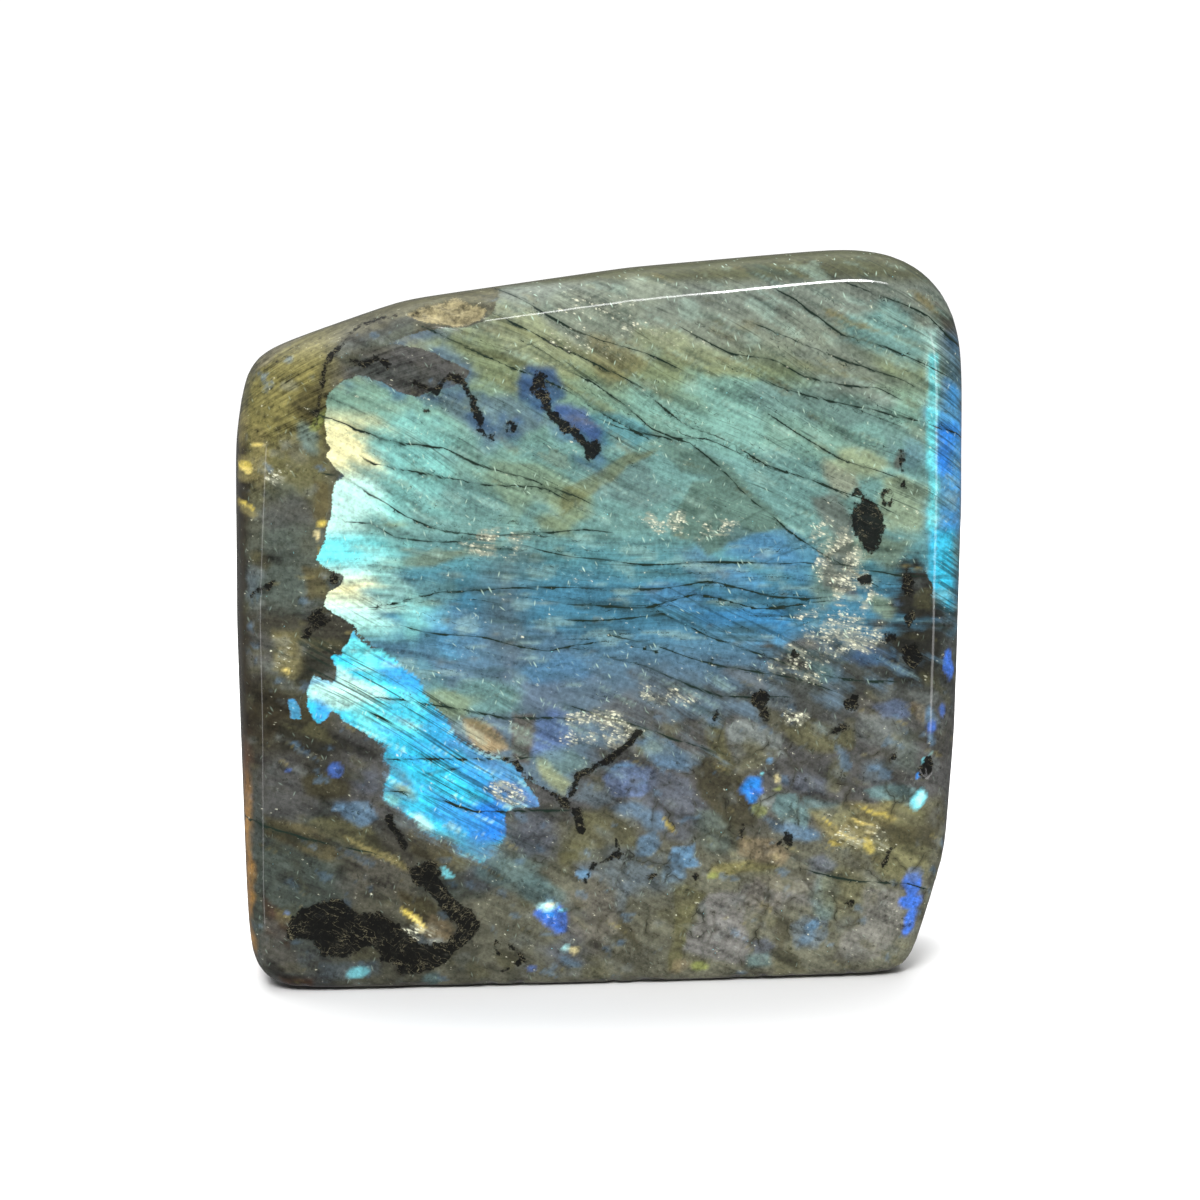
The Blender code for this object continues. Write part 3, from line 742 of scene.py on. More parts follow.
# Patches with a clearer edge, as in the rock.
FLASH_PATCHES = (
    (
        "brown_grey", 0.45, 2.5,
        ((-20.6, 72), (-16, 74.4), (-12.6, 73), (-14, 66), (-13.6, 60), (-15, 54), (-21, 57), (-19.6, 64)),
    ),
    (
        "moss", 0.75, 0.35,
        (
            (9.6, 77.4), (11, 80), (14, 83.6), (20, 84.6), (25, 81), (30, 76.4), (24, 75), (19.6, 73.6),
            (16.6, 71.4), (14.4, 73.4), (10, 75.2),
        ),
    ),
    ("grey_teal", 0.7, 0.8, ((-4, 82), (2, 86), (6, 88.4), (8, 84), (12, 82), (5, 79))),
    ("moss", 0.7, 0.4, ((7.6, 90), (14, 89.6), (20, 86.4), (25, 82), (19, 84), (12, 85.6))),
    (
        "olive_green", 0.7, 0.4,
        ((-8, 83), (-3, 85), (3, 88.6), (8, 89), (3, 86), (0, 83.4), (-4, 80.6), (-8, 79)),
    ),
    (
        "brown_olive", 0.55, 0.9,
        ((-3.4, 108), (0.4, 107.4), (6, 105.2), (7, 103.4), (4, 101.4), (0, 99.6), (-2.6, 103.4)),
    ),
    (
        "olive_green", 0.6, 0.35,
        ((-30, 109), (-20, 105.4), (-14, 103.4), (-6, 99.4), (-14, 102.2), (-24, 105.6)),
    ),
    ("olive_green", 0.6, 0.35, ((-20, 112), (-10, 107.4), (-2, 104), (-10, 106.4), (-18, 110))),
    ("olive_green", 0.6, 0.3, ((-8, 100), (0, 96.6), (4, 94), (0, 94.8), (-6, 98.6))),
    ("brown_olive", 0.7, 0.3, ((35, 113), (40, 111), (48, 107.4), (42, 108.8), (36, 111.4))),
    ("brown_olive", 0.7, 0.3, ((51, 115.6), (56, 111.8), (55.6, 111), (51, 114))),
    ("olive_green", 0.5, 0.4, ((30, 104.6), (38, 102), (44, 100.6), (38, 101), (31, 103))),
    (
        "slate", 0.75, 0.7,
        ((-31, 98.4), (-24, 98.8), (-16, 98), (-9, 93.4), (-14, 91.4), (-20, 90.4), (-24, 94)),
    ),
    ("sea_blue", 0.8, 0.5, ((-4, 95), (2, 95.4), (6, 93.4), (8, 91.4), (3, 89.4), (-1, 90))),
    ("indigo", 0.75, 0.5, ((-9, 96.4), (-4, 95.6), (-1, 92), (-2, 90), (-5, 92), (-9, 94.6))),
    (
        "night_blue", 0.8, 0.7,
        ((-15.4, 100), (-13.4, 102.8), (-9, 102.4), (-8, 98), (-11, 95.6), (-14.6, 97.6)),
    ),
    ("tan", 0.85, 0.5, ((-24.4, 45.6), (-21.6, 45), (-18, 42.6), (-16.4, 40.4), (-19.6, 39), (-22, 40.4))),
    (
        "brown_grey", 0.85, 0.5,
        ((-16, 46), (-12.2, 45.6), (-12, 41.6), (-13, 37), (-15.6, 37.6), (-16, 41.6)),
    ),
    ("straw", 0.8, 0.5, ((-12.2, 39), (-10.4, 38.4), (-6.4, 33.6), (-7.6, 32.2), (-11.8, 36.4))),
    (
        "tan", 0.45, 0.8,
        ((36, 87.6), (38, 86.4), (41, 85), (41.4, 83), (39.6, 81.4), (37, 82.4), (36.2, 84.6)),
    ),
    (
        "brown_grey", 0.7, 0.8,
        ((33, 81), (38, 81), (41, 77), (41, 69), (42, 64), (36, 66), (35, 70), (37.4, 74)),
    ),
    ("steel", 0.5, 0.3, ((24.6, 75.2), (30, 76.2), (34, 73), (37, 70), (25, 70.4), (18.6, 72))),
    ("brown_grey", 0.85, 0.5, ((55, 113.6), (57, 111.6), (62, 111), (62, 106), (57, 106.4), (55.6, 110))),
    # Painted highlight: this pale aqua patch lies on the top of the right shoulder, where its highlight line
    # runs.
    ("pale_aqua", 0.6, 0.8, ((52.4, 109), (54.8, 109), (55.4, 100), (53, 100))),
    ("steel", 0.7, 2.6, ((55.4, 109), (62, 109), (62, 98), (55.6, 98))),
    ("azure", 0.85, 4.0, ((56.8, 99), (66, 99), (66, 75), (56.4, 75))),
    ("royal", 0.8, 1.2, ((55.2, 92.4), (58, 92.4), (57.6, 85), (54.8, 85.6))),
    # A painted highlight line down the right shoulder, in the cyan of the right edge band's own flash.
    ("cyan", 0.8, 0.5, ((53.4, 105), (55, 105), (55, 86), (55, 75), (53.6, 75))),
    ("sky", 0.85, 0.9, ((54.2, 75), (58.4, 75), (58, 62), (57, 62), (54.4, 66))),
)
# Outlines of the flashing areas: the sheet, the brilliant band below it and a scrap beside the band.
SHEET_OUTLINE = (
    (-18, 126), (63, 126), (63, 62), (57.4, 62), (54.6, 63.4), (54.2, 66), (53.2, 68.6), (51.8, 70.4),
    (50.9, 69), (49.8, 71), (48.9, 69), (49.2, 66.6), (47.2, 64.8), (47.9, 62.4), (45.4, 60.8), (45, 56.6),
    (38, 53), (30, 50.4), (16, 45.4), (5.4, 42.2), (3, 40.8), (0, 38.4), (-3, 36.6), (-5.6, 33.6),
    (-6.6, 31.6), (-9, 32), (-14, 35.6), (-18, 38.7), (-26, 42.7), (-28, 46), (-31, 50), (-34, 53),
    (-38, 57), (-41, 59.4), (-42.6, 61), (-45, 62.2), (-46.6, 63.8), (-46, 66), (-44, 67.4), (-43.6, 68.8),
    (-45.2, 69.3), (-46.6, 70), (-48, 71.4), (-47, 73.4), (-46.3, 76), (-45.6, 78), (-45.2, 80),
    (-45.6, 82), (-45.2, 84), (-43.4, 85), (-44.6, 86.3), (-45.6, 87.4), (-46, 88.4), (-45.4, 90),
    (-46.2, 91), (-46.4, 95), (-46.2, 98.4), (-44.6, 100), (-41, 101.4), (-37, 100.2), (-34, 98.7),
    (-31.3, 97.8), (-29, 99), (-26, 99.6), (-24, 100.4), (-22.6, 102), (-25, 103.4), (-28, 105), (-32, 106),
    (-36, 106.8), (-31.5, 108.2), (-28, 109), (-24, 109), (-20.4, 110.6), (-18.6, 112.4),
)
BAND_OUTLINE = (
    (-42, 59.6), (-40.5, 58.2), (-37, 56.5), (-35.4, 55.2), (-33, 53), (-31.5, 51), (-30, 48.5),
    (-28.5, 47), (-26.8, 44.8), (-25.5, 42.5), (-23.3, 41), (-20.5, 39.2), (-17.5, 38), (-15.5, 36.5),
    (-14, 34.5), (-12.3, 32.5), (-11.5, 30.2), (-15.5, 30), (-17.2, 29.3), (-17, 25.5), (-18.5, 22.6),
    (-21, 21.5), (-24, 22.6), (-26.3, 24.2), (-28.5, 25.3), (-30.5, 26.2), (-32, 28.3), (-34.5, 30),
    (-37, 31.5), (-37, 34.5), (-36.5, 37), (-37.3, 39.3), (-36.6, 40.8), (-40, 43), (-42.8, 44.4),
    (-44.8, 46.5), (-45.6, 46.8), (-47.2, 44.5), (-48.8, 45), (-49.8, 47.5), (-49.4, 50.8), (-48.7, 52.6),
    (-46.8, 52.1), (-44.9, 51.3), (-44.9, 53.5), (-46, 55), (-45, 55.8), (-43.9, 55.3), (-44.2, 56.6),
    (-43, 57.8),
)
SIDE_FLASH = ((-52.8, 49), (-51.5, 48.6), (-50.7, 47), (-50.6, 45.3), (-52.3, 45.3), (-52.6, 47))
# Patches and streaks that come again and again in the sheet, as in the rock.
SHEET_VARIETY = (
    ("dark_teal", 1.3, 9.0, 0.9, 2.0, 0.5),
    ("dark_teal", 2.6, 6.0, 0.9, 1.9, 0.3),
    ("mist", 1.2, 8.0, 1.2, 2.1, 0.3),
    ("mist", 3.0, 2.0, 1.1, 2.1, 0.25),
    ("brown_olive", 1.8, 4.0, 1.3, 2.2, 0.3),
)
BAND_CLOUDS = (
    ("sky", (-36, 46), 30, 30, 0, 1.0),
    ("cyan", (-40, 56), 5, 3, -30, 0.9),
    ("azure", (-35, 52.6), 3.4, 1.6, -35, 0.8),
    ("cyan", (-42, 48.6), 10, 4, -28, 0.9),
    ("pale_aqua", (-45.6, 50), 5.4, 2.6, -28, 0.9),
    ("pale_aqua", (-40, 50.4), 6, 0.6, -28, 0.9),
    ("azure", (-47, 46.4), 2.2, 1.6, -40, 0.9),
    ("steel", (-52, 47), 1.6, 3, 0, 0.8),
    ("sky", (-32, 38.6), 5, 2.6, -40, 0.9),
    ("azure", (-27, 42.6), 3, 3, -45, 0.5),
    ("dull_blue", (-20, 37.4), 6, 2, -25, 0.7),
    ("azure", (-22, 35.6), 4, 2, -30, 0.6),
    ("sky", (-24.6, 33.4), 3.4, 2.6, -40, 0.7),
    ("royal", (-20.4, 27.8), 3.4, 3.4, -35, 0.95),
    ("azure", (-24.6, 29), 3.4, 2.4, -35, 0.8),
    ("dull_blue", (-15.6, 32.4), 4.6, 2.2, -25, 0.9),
    ("slate", (-17.6, 33.2), 2.2, 1.4, -30, 0.6),
    ("steel", (-21, 23.6), 4, 1.4, -20, 0.7),
    ("straw", (-34.2, 33.6), 2.4, 1.5, -35, 0.85),
    ("aqua", (-35.8, 31.6), 2, 1.4, -35, 0.8),
    ("pale_aqua", (-30.4, 27.4), 2.2, 1.0, -45, 0.8),
    ("teal", (-26.6, 25.2), 2.4, 1.0, -30, 0.5),
)
BAND_VARIETY = (
    ("pale_aqua", 1.1, 7.0, 1.0, 2.0, 0.6),
    ("azure", 1.8, 5.0, 0.7, 1.8, 0.5),
    ("steel", 1.2, 7.0, 1.3, 2.2, 0.5),
)
SHEET_SEED = 30.0
BAND_SEED = 70.0
# How far the flash fades at its edge, in millimetres: at a break, at the band's lower end and over the fading
# lower right of the sheet, which lies between these places.
FADE_SHARP = 0.35
FADE_BAND_FOOT = 3.0
FADE_SOFT = 6.0
FADING_FROM_LEFT = (-12.0, 8.0)
FADING_FROM_TOP = (66.0, 56.0)
FADING_CORNER = ((50.6, 67), 3.4, 7)

sheet = banded(SHEET_BANDS, FLASH_TINTS)
sheet = clouded(sheet, FLASH_TINTS, FLASH_CLOUDS)
sheet = patched(sheet, FLASH_TINTS, FLASH_PATCHES)
sheet = varied(sheet, FLASH_TINTS, SHEET_VARIETY, SHEET_SEED)
in_sheet = inside_by(SHEET_OUTLINE)
strip_share = eased(STRIP_WIDTH, 1.5, in_sheet - 2.0 * layered(2.4, 4.0, 60.0))
strip_share = strip_share * eased(*STRIP_ENDS, across) * eased(*STRIP_TOP, up) * eased(*STRIP_FOOT, up)
sheet = washed(sheet, banded(STRIP_BANDS, FLASH_TINTS), strip_share)
band = clouded(sheet, FLASH_TINTS, BAND_CLOUDS)
band = varied(band, FLASH_TINTS, BAND_VARIETY, BAND_SEED)
in_band = np.maximum(inside_by(BAND_OUTLINE), inside_by(SIDE_FLASH))
fading = eased(*FADING_FROM_LEFT, across) * eased(*FADING_FROM_TOP, up)
fading = np.maximum(fading, 0.3 * oval(*FADING_CORNER))
sheet_fade = FADE_SHARP + (FADE_SOFT - FADE_SHARP) * fading
patchy = layered(3.0, 2.0, 50.0) * (sheet_fade - FADE_SHARP) / FADE_SOFT
band_foot = eased(0.0, -4.0, up - 44.0 + 0.75 * (across + 36.0)) * eased(-39.0, -36.0, across)
band_fade = FADE_SHARP + (FADE_BAND_FOOT - FADE_SHARP) * band_foot
softness = np.maximum(eased(0.0, 0.3, fading), 0.7 * band_foot * (in_band > in_sheet))
flash_edge = np.maximum(in_sheet / sheet_fade + patchy * 0.7, in_band / band_fade)
flash = np.where((in_band > 0.0)[:, None], band, sheet)

# The back and the far walls were ground across the flashing planes, so they are dull: smoky rock with faint
# blue and green clouds. The front's markings give way to them along the walls.
BACK_BANDS = ((0, "grey_olive"), (30, "smoke"), (60, "green_grey"), (90, "smoke"), (120, "grey_olive"))
BACK_CLOUDS = (
    ("slate_blue", (18, 72), 20, 8, 24, 0.4),
    ("sea_grey", (-20, 88), 20, 8, 20, 0.45),
    ("clear_blue", (10, 68), 8, 2, 24, 0.3),
    ("olive", (30, 30), 18, 10, 30, 0.5),
    ("milk", (-30, 30), 16, 12, 0, 0.5),
    ("dark_olive", (0, 50), 24, 5, 24, 0.6),
    ("brown", (-44, 62), 8, 12, 0, 0.5),
    ("soot", (6, 20), 14, 2.4, 20, 0.6),
)
BACK_SOFTNESS = 1.0
# Between which depths the markings of the front end and the flash fades along the walls.
FRONT_ENDS = (-12.0, 10.0)
WALL_FADE = (-19.0, 4.0)
WALL_SOFT = (-18.0, -15.0)
WALL_WANDER = 2.0

back = clouded(banded(BACK_BANDS, ROCK_TINTS), ROCK_TINTS, BACK_CLOUDS, BACK_SOFTNESS)
back = varied(back, ROCK_TINTS, ROCK_VARIETY, ROCK_SEED)
back_share = eased(*FRONT_ENDS, places[:, 1] + fine_drift * WALL_WANDER)
rock = washed(rock, back, back_share)
flash_edge = flash_edge * (1.0 - back_share) - 3.0 * back_share
deep = eased(*WALL_FADE, places[:, 1])
flash_edge = np.minimum(flash_edge, 1.6 - 3.2 * deep)
softness = np.maximum(softness, eased(*WALL_SOFT, places[:, 1]))

# Black inclusions: crystals of iron ore and dark mica caught in the feldspar. They are ragged lumps, short
# veins and rings. Softer than the feldspar, they are left about a tenth of a millimetre low by the polish.
LARGEST_BLACK = (
    (-53, 12.6), (-50.7, 14), (-46.7, 15.2), (-44, 15.4), (-41.8, 13.4), (-38.7, 13), (-34.7, 10.8),
    (-33.3, 8.6), (-30.7, 7.6), (-26.7, 7.6), (-25.2, 10.6), (-28, 13.6), (-29.3, 16.2), (-32.5, 18),
    (-33.3, 20.2), (-29.7, 21.5), (-28, 20.2), (-27, 17.6), (-24.8, 14.4), (-21.7, 12.2), (-21.2, 10),
    (-24, 7.3), (-27.5, 4.6), (-30, 3.3), (-34.7, 2.6), (-35, 4.3), (-38, 4.8), (-38.7, 7.4), (-40.8, 7),
    (-43.5, 5.7), (-47.6, 6), (-48.5, 8.4), (-52.5, 8.8),
)
# Lumps: middle, half width, half height and turn.
BLACK_LUMPS = (
    ((-47.8, 61.6), 1.5, 1.6, 20),
    ((-49.6, 59.4), 0.7, 0.8, 0),
    ((-45.2, 68.2), 0.7, 0.7, 0),
    ((43.2, 76.6), 2.6, 4.2, 5),
    ((43, 67.4), 1.0, 0.9, 0),
    ((25.4, 47.6), 1.6, 1.5, 0),
    ((25.8, 45.6), 0.8, 1.6, 10),
    ((40.8, 47), 0.9, 1.5, -20),
    ((38, 42.2), 1.4, 0.6, 20),
    ((39, 34.6), 0.7, 0.6, 0),
    ((31, 54.8), 0.6, 0.5, 0),
    ((30.3, 23.6), 0.9, 1.3, 20),
    ((29, 23.2), 0.6, 0.5, 0),
    ((53.6, 35.6), 1.2, 1.5, 0),
    ((1.8, 21.6), 1.1, 0.8, -20),
    ((7, 18), 0.5, 0.4, 0),
    ((14.4, 18.4), 0.4, 0.5, 0),
    ((40.4, 13.2), 0.6, 0.5, 0),
    ((17.6, 44.5), 0.5, 0.9, -20),
    ((-2.6, 89.2), 1.5, 1.8, -20),
    ((-30, 95.6), 0.5, 0.4, 0),
    ((-11.8, 100.4), 1.3, 1.9, -20),
    ((50.3, 66.5), 0.9, 2.0, 0),
    ((51, 54.5), 1.7, 1.9, 0),
    ((47.3, 57.5), 0.8, 1.0, 0),
    ((50.4, 60.6), 0.8, 1.4, 0),
)
# Veins: how thick they are, and the path that they follow.
BLACK_VEINS = (
    (0.7, ((-36.2, 28.6), (-34.4, 25.6), (-33.6, 24))),
    (0.42, ((-17.2, 38.2), (-15.5, 37.2), (-12, 34.2), (-8, 31.4), (-5.2, 29.4))),
    (0.75, ((-5.6, 29.6), (-4.8, 26.6))),
    (0.55, ((-6.4, 32.2), (-5.2, 35), (-0.8, 37.4), (3, 40.2), (5, 42.4))),
    (0.3, ((-3.7, 17.4), (-3.2, 19.6), (0, 21.2), (1.6, 22.6), (1.2, 24))),
    (0.28, ((-19, 7.4), (-18.6, 5.4))),
    (0.3, ((-19, 7.4), (-16, 6.6), (-14, 4.8), (-15.4, 3.8))),
    (0.25, ((-18.2, 2.6), (-17, 3.2))),
    (0.3, ((-58.6, 65.4), (-57, 66.8), (-55, 68.2))),
    (0.5, ((-24.2, 100.6), (-22.4, 97.2), (-21.2, 93.6), (-20.8, 91.6), (-19.6, 91.2))),
    (0.5, ((-16.8, 93), (-16.2, 92))),
    (0.8, ((-11.2, 98.6), (-9.6, 95.2), (-6, 92.2), (-3, 89.8))),
    (0.3, ((-42, 103.8), (-40, 103), (-37.4, 104.2), (-36, 102.8))),
    (0.25, ((48.6, 89), (49.2, 86), (49.4, 82.6))),
    (0.22, ((-35.3, 111.7), (-40.6, 110.4), (-45.6, 104.6), (-47.4, 98.4), (-48.3, 93.9))),
    (0.3, ((-31.5, 100.2), (-28.6, 98.6), (-27, 101.4), (-24.8, 101))),
    (0.22, ((22.5, 26.4), (22.4, 23.2))),
    (0.22, ((46.4, 19), (48, 22.4))),
    (0.22, ((44.5, 36), (48, 37.4))),
)
# Rings: middle, radius and the thickness of the rim.
BLACK_RINGS = (((41.4, 81), 0.85, 0.32), ((46.6, 80.6), 1.05, 0.3), ((-16.2, 92.8), 0.8, 0.35))

FAR_OUTSIDE = 6.0

black_edge = np.maximum(inside_by(LARGEST_BLACK), -FAR_OUTSIDE)
for centre, half_width, half_height, turn in BLACK_LUMPS:
    reach = from_middle(centre, half_width, half_height, turn)
    black_edge = np.maximum(black_edge, (1.0 - reach) * min(half_width, half_height))
for thickness, path in BLACK_VEINS:
    black_edge = np.maximum(black_edge, thickness - from_path(path))
for centre, radius, rim in BLACK_RINGS:
    from_rim = np.abs(np.hypot(across - centre[0], up - centre[1]) - radius)
    black_edge = np.maximum(black_edge, rim - from_rim)
black_edge = black_edge * (1.0 - back_share) - FAR_OUTSIDE * back_share

# A blue halo lies in the sheet round the blacks and along the dark corner of the upper left.
HALO_WIDTH = 3.0
HALO_PLACE = ((-18, 97), 22, 9, -20)
HALO_STRENGTH = 0.6
halo = np.maximum(eased(-HALO_WIDTH, -0.2, black_edge), eased(HALO_WIDTH, 0.3, in_sheet))
halo = halo * oval(*HALO_PLACE) * eased(-1.6, 1.0, layered(2.6, 1.5, 80.0))
flash = washed(flash, FLASH_TINTS["night_blue"], halo * HALO_STRENGTH)

# Glitter: patches where tiny cleavage flakes lie just under the polish and catch the light as grains. This
# says where the painted glints crowd.
GLITTER_PATCHES = (
    ((10.5, 77.2), 3.4, 1.4, -12, 0.9),
    ((19, 76), 3.6, 1.4, 10, 0.8),
    ((-4, 67.5), 6, 2, 0, 0.25),
    ((-19, 73.8), 5, 1.6, 0, 0.6),
    ((38, 70), 4, 7, 15, 0.8),
    ((39, 60), 6, 5, 0, 0.7),
    ((30, 53), 6, 2.5, 0, 0.6),
    ((9.5, 48.4), 5, 2, -10, 0.9),
    ((-1.5, 43.5), 6, 3, 10, 0.9),
    ((30.5, 44), 4, 1.8, 0, 1.0),
    ((-16.5, 33), 2.6, 1.6, -20, 0.8),
    ((-22.5, 42), 3, 1.5, -30, 0.5),
    ((41, 25), 7, 2.6, -8, 0.45),
    ((-1, 108), 10, 6, 0, 0.35),
    ((-31, 98), 12, 3, 0, 0.12),
    ((-53.5, 54.4), 2.4, 2.4, 0, 0.4),
    ((-53, 86), 2.4, 1.4, 0, 0.5),
    ((-30, 7.5), 4, 3, -30, 0.4),
)
LEAST_GLITTER = 0.06
glitter = strongest(GLITTER_PATCHES, LEAST_GLITTER, 0.4) * (1.0 - 0.85 * back_share)

# Cleavage cracks: thin dark planes that cross the block and nearly follow the flashing layers. They are kept
# in sets. The cracks of one set stay some millimetres apart, and each is a path from left to right. Beyond
# its ends a path goes on unseen at the slope of its set.
CRACK_SETS = (
    (-0.5, (
        ((-46, 94.3), (-37.3, 91.5), (-27.4, 89.3), (-22, 87.2), (-14.8, 84.7), (-6, 81.5)),
        (
            (-2.7, 100.2), (3.2, 95.8), (7, 92.6), (13.4, 90), (19.2, 85.5), (25, 79.7), (29.5, 75.9),
            (36, 71.4), (42, 67.6),
        ),
        ((21.7, 97.8), (28.2, 93.9), (34.7, 90), (39.1, 87.5), (52, 82.3)),
        ((15.9, 107.4), (20, 105.4), (27.5, 103.6), (32, 101.2), (38.5, 99.8), (45, 99.1)),
    )),
    (-0.5, (
        ((-38, 87.1), (-27.4, 84.7), (-17.2, 83.3), (-10.4, 82.5)),
        ((-27.4, 107.9), (-18.6, 104.1), (-12.3, 101.6), (-6, 98.4), (3, 92.8)),
        ((-14.8, 109.6), (-2.7, 103.6), (5, 99.1), (12, 93.3), (21.7, 89.3), (27, 86.2), (36, 83)),
        ((22.4, 102.2), (28.2, 99.1), (36, 97.4), (42.3, 95.8), (52, 93.9), (58.4, 92)),
        ((30.8, 113.8), (34.7, 111.2), (39, 108), (46.3, 106), (53.2, 103)),
    )),
    (-0.5, (
        ((2, 92.6), (10, 91), (16, 90.6), (24, 87.6), (44, 80)),
        ((-16.6, 115.3), (-10.4, 111.5), (-1, 107.2), (8, 104)),
        ((28, 108), (40, 103.6), (48, 101)),
        ((39, 117), (45.6, 114.5), (53.2, 111.2), (57, 108)),
    )),
    (-0.05, (
        ((-33, 33.1), (-22, 29.9), (-10, 29.9)),
        ((-35, 48.7), (-27.4, 46.9), (-18.6, 45.7), (-7.6, 44.7)),
        ((-2.7, 63.8), (5.6, 63.1), (14, 64.9), (24.4, 63.1), (33.3, 63.8)),
        (
            (-39, 77.5), (-35, 74.9), (-27.4, 74.1), (-22, 74.5), (-13.6, 73.4), (-6, 71.6), (3.8, 70.7),
            (16.6, 70.1), (33.3, 70.4), (48.8, 68.2),
        ),
    )),
    (-0.05, (
        ((-34, 38.7), (-24, 38), (-16, 38.5)),
        ((-2.7, 56.1), (5, 53.5), (18.6, 48.3), (25.7, 47.7)),
        ((-2.7, 61.1), (9, 61.8), (16.6, 58), (24.4, 55.5), (33.3, 51.5), (43.6, 50.3)),
        (
            (-41, 63.4), (-34, 64.6), (-27.4, 65.9), (-18.6, 66.3), (-9, 66.7), (9, 66.3), (16.6, 66.9),
            (33.3, 64.3),
        ),
        (
            (-44.3, 85.7), (-38.6, 82.2), (-33, 78.4), (-27.4, 76.2), (-19.7, 74.9), (-12.3, 75.5),
            (-4, 75.9),
        ),
    )),
    (-0.3, (
        ((-58.5, 28.8), (-46.8, 25), (-39, 23.1)),
        ((36, 17.6), (42.3, 16.8), (50.7, 15.8)),
        ((-2.7, 45.7), (5, 43.2), (10.8, 41.2), (18, 39)),
        ((8.3, 55.5), (16.6, 53.5), (24.4, 52.2), (33.3, 50)),
        ((-30, 59.4), (-20, 58.6), (-10, 56), (0, 58)),
    )),
)
CRACK_WIDTH = 0.14
CRACK_ENDS = 6.0
LEAST_GAP = 0.8


def crack_set(slope, cracks):
    """A phase that is whole on every crack of a set, and how wide the nearest crack is as a share of the gap
    to the next one."""
    heights = []
    shows = []
    for path in cracks:
        run = [point[0] for point in path]
        rise = [point[1] for point in path]
        beyond = np.minimum(plain_across - run[0], 0.0) + np.maximum(plain_across - run[-1], 0.0)
        heights.append(np.interp(plain_across, run, rise) + beyond * slope)
        shows.append(eased(CRACK_ENDS, 0.0, np.abs(beyond)))
    heights = np.array(heights)
    order = np.argsort(heights, axis=0)
    each = np.arange(len(plain_up))
    heights = np.sort(heights, axis=0)
    below = np.clip((plain_up >= heights).sum(axis=0) - 1, 0, len(cracks) - 2)
    foot = heights[below, each]
    gap = np.maximum(heights[below + 1, each] - foot, LEAST_GAP)
    phase = below + (plain_up - foot) / gap
    nearest = order[np.clip(np.rint(phase).astype(int), 0, len(cracks) - 1), each]
    shown = np.array(shows)[nearest, each] * (np.abs(phase - (len(cracks) - 1) / 2) < len(cracks) / 2)
    return phase, shown * CRACK_WIDTH / gap * (1.0 - back_share)


# Striations: where the flashing planes end at the polish they leave fine black lines, closest together in
# the brilliant band and the right edge. Combed says how strongly a place is lined.
COMBED_PLACES = (
    ((-40, 51), 13, 4, -30, 1.0),
    ((-26, 38), 12, 6, -38, 0.8),
    ((-41, 63), 6, 3, -20, 0.5),
    ((57, 96), 4, 18, 0, 0.7),
    ((57, 66), 3, 8, 0, 0.8),
    ((24, 59), 16, 4, -15, 0.5),
    ((-14, 110), 16, 4, -25, 0.5),
)
# Where the layers are smooth and show few streaks, and where the rock is made of clear grains.
CALM_PLACES = (((-41, 76), 7, 18, 0, 1.0), ((-42, 92), 6, 6, 0, 0.6), ((-12, 54), 14, 10, 0, 0.7))
BLOCKY_PLACES = (((24, 22), 34, 27, 0, 1.0),)
LEAST_BLOCKY = 0.35
# Where the rock is finely streaked upwards to the right.
BRUSHED_PLACES = (
    ((-52, 101), 11, 9, 25, 1.0),
    ((-36, 104), 10, 5, 15, 0.7),
    ((-58, 86), 3, 10, 0, 0.4),
)

# Relief left by the lapidary: the wheel's faint waves all over, the low black inclusions, a shallow chip in
# the top edge over the upper left corner, and a nicked arris round the sawn base.
WHEEL_WAVE = ((26.0, 0.06), (9.0, 0.012))
BLACK_DEPTH = 0.14
CHIP_OUTLINE = (
    (-33.5, 111.9), (-30.8, 113.2), (-25, 114.6), (-19.7, 112.5), (-20.9, 110.6), (-25, 109),
    (-29.2, 109.9), (-32.8, 110.9),
)
CHIP_DEPTH = 0.7
NICK_HEIGHT = 2.2
NICK_DEPTH = 0.35

lowering = BLACK_DEPTH * eased(-0.2, 0.8, black_edge)
chip_edge = inside_by(CHIP_OUTLINE) * (1.0 - back_share) - 3.0 * back_share
chip_share = eased(-0.2, 0.9, chip_edge)
lowering = lowering + CHIP_DEPTH * chip_share * (1.0 + 0.25 * mottle(1.6, 1.5, 20.0, 5.0))
near_base = eased(NICK_HEIGHT, 0.3, places[:, 2]) * eased(0.05, 0.4, places[:, 2])
nicks = np.array([noise.noise(Vector(place) / 2.3) for place in places])
lowering = lowering + NICK_DEPTH * near_base * eased(0.15, 0.5, nicks)
for span, depth in WHEEL_WAVE:
    waves = np.array([noise.noise(Vector(place) / span) for place in places])
    lowering = lowering + depth * waves * eased(0.0, 6.0, places[:, 2])
settled = places - facings * lowering[:, None]
for vert, place in zip(skin.verts, settled):
    vert.co = Vector(place) * MM
bmesh.ops.recalc_face_normals(skin, faces=skin.faces)

stone_mesh = bpy.data.meshes.new("polished_stone")
skin.to_mesh(stone_mesh)
skin.free()
stone_mesh.shade_smooth()
stone = bpy.data.objects.new("polished_stone", stone_mesh)
bpy.context.scene.collection.objects.link(stone)


def keep_colour(name, colours):
    """Keeps a colour for each point of the skin."""
    layer = stone_mesh.attributes.new(name, "FLOAT_COLOR", "POINT")
    rows = np.concatenate([colours, np.ones((len(colours), 1))], axis=1)
    layer.data.foreach_set("color", rows.astype(np.float32).ravel())


def keep_amount(name, amounts):
    """Keeps a number for each point of the skin."""
    layer = stone_mesh.attributes.new(name, "FLOAT", "POINT")
    layer.data.foreach_set("value", amounts.astype(np.float32))


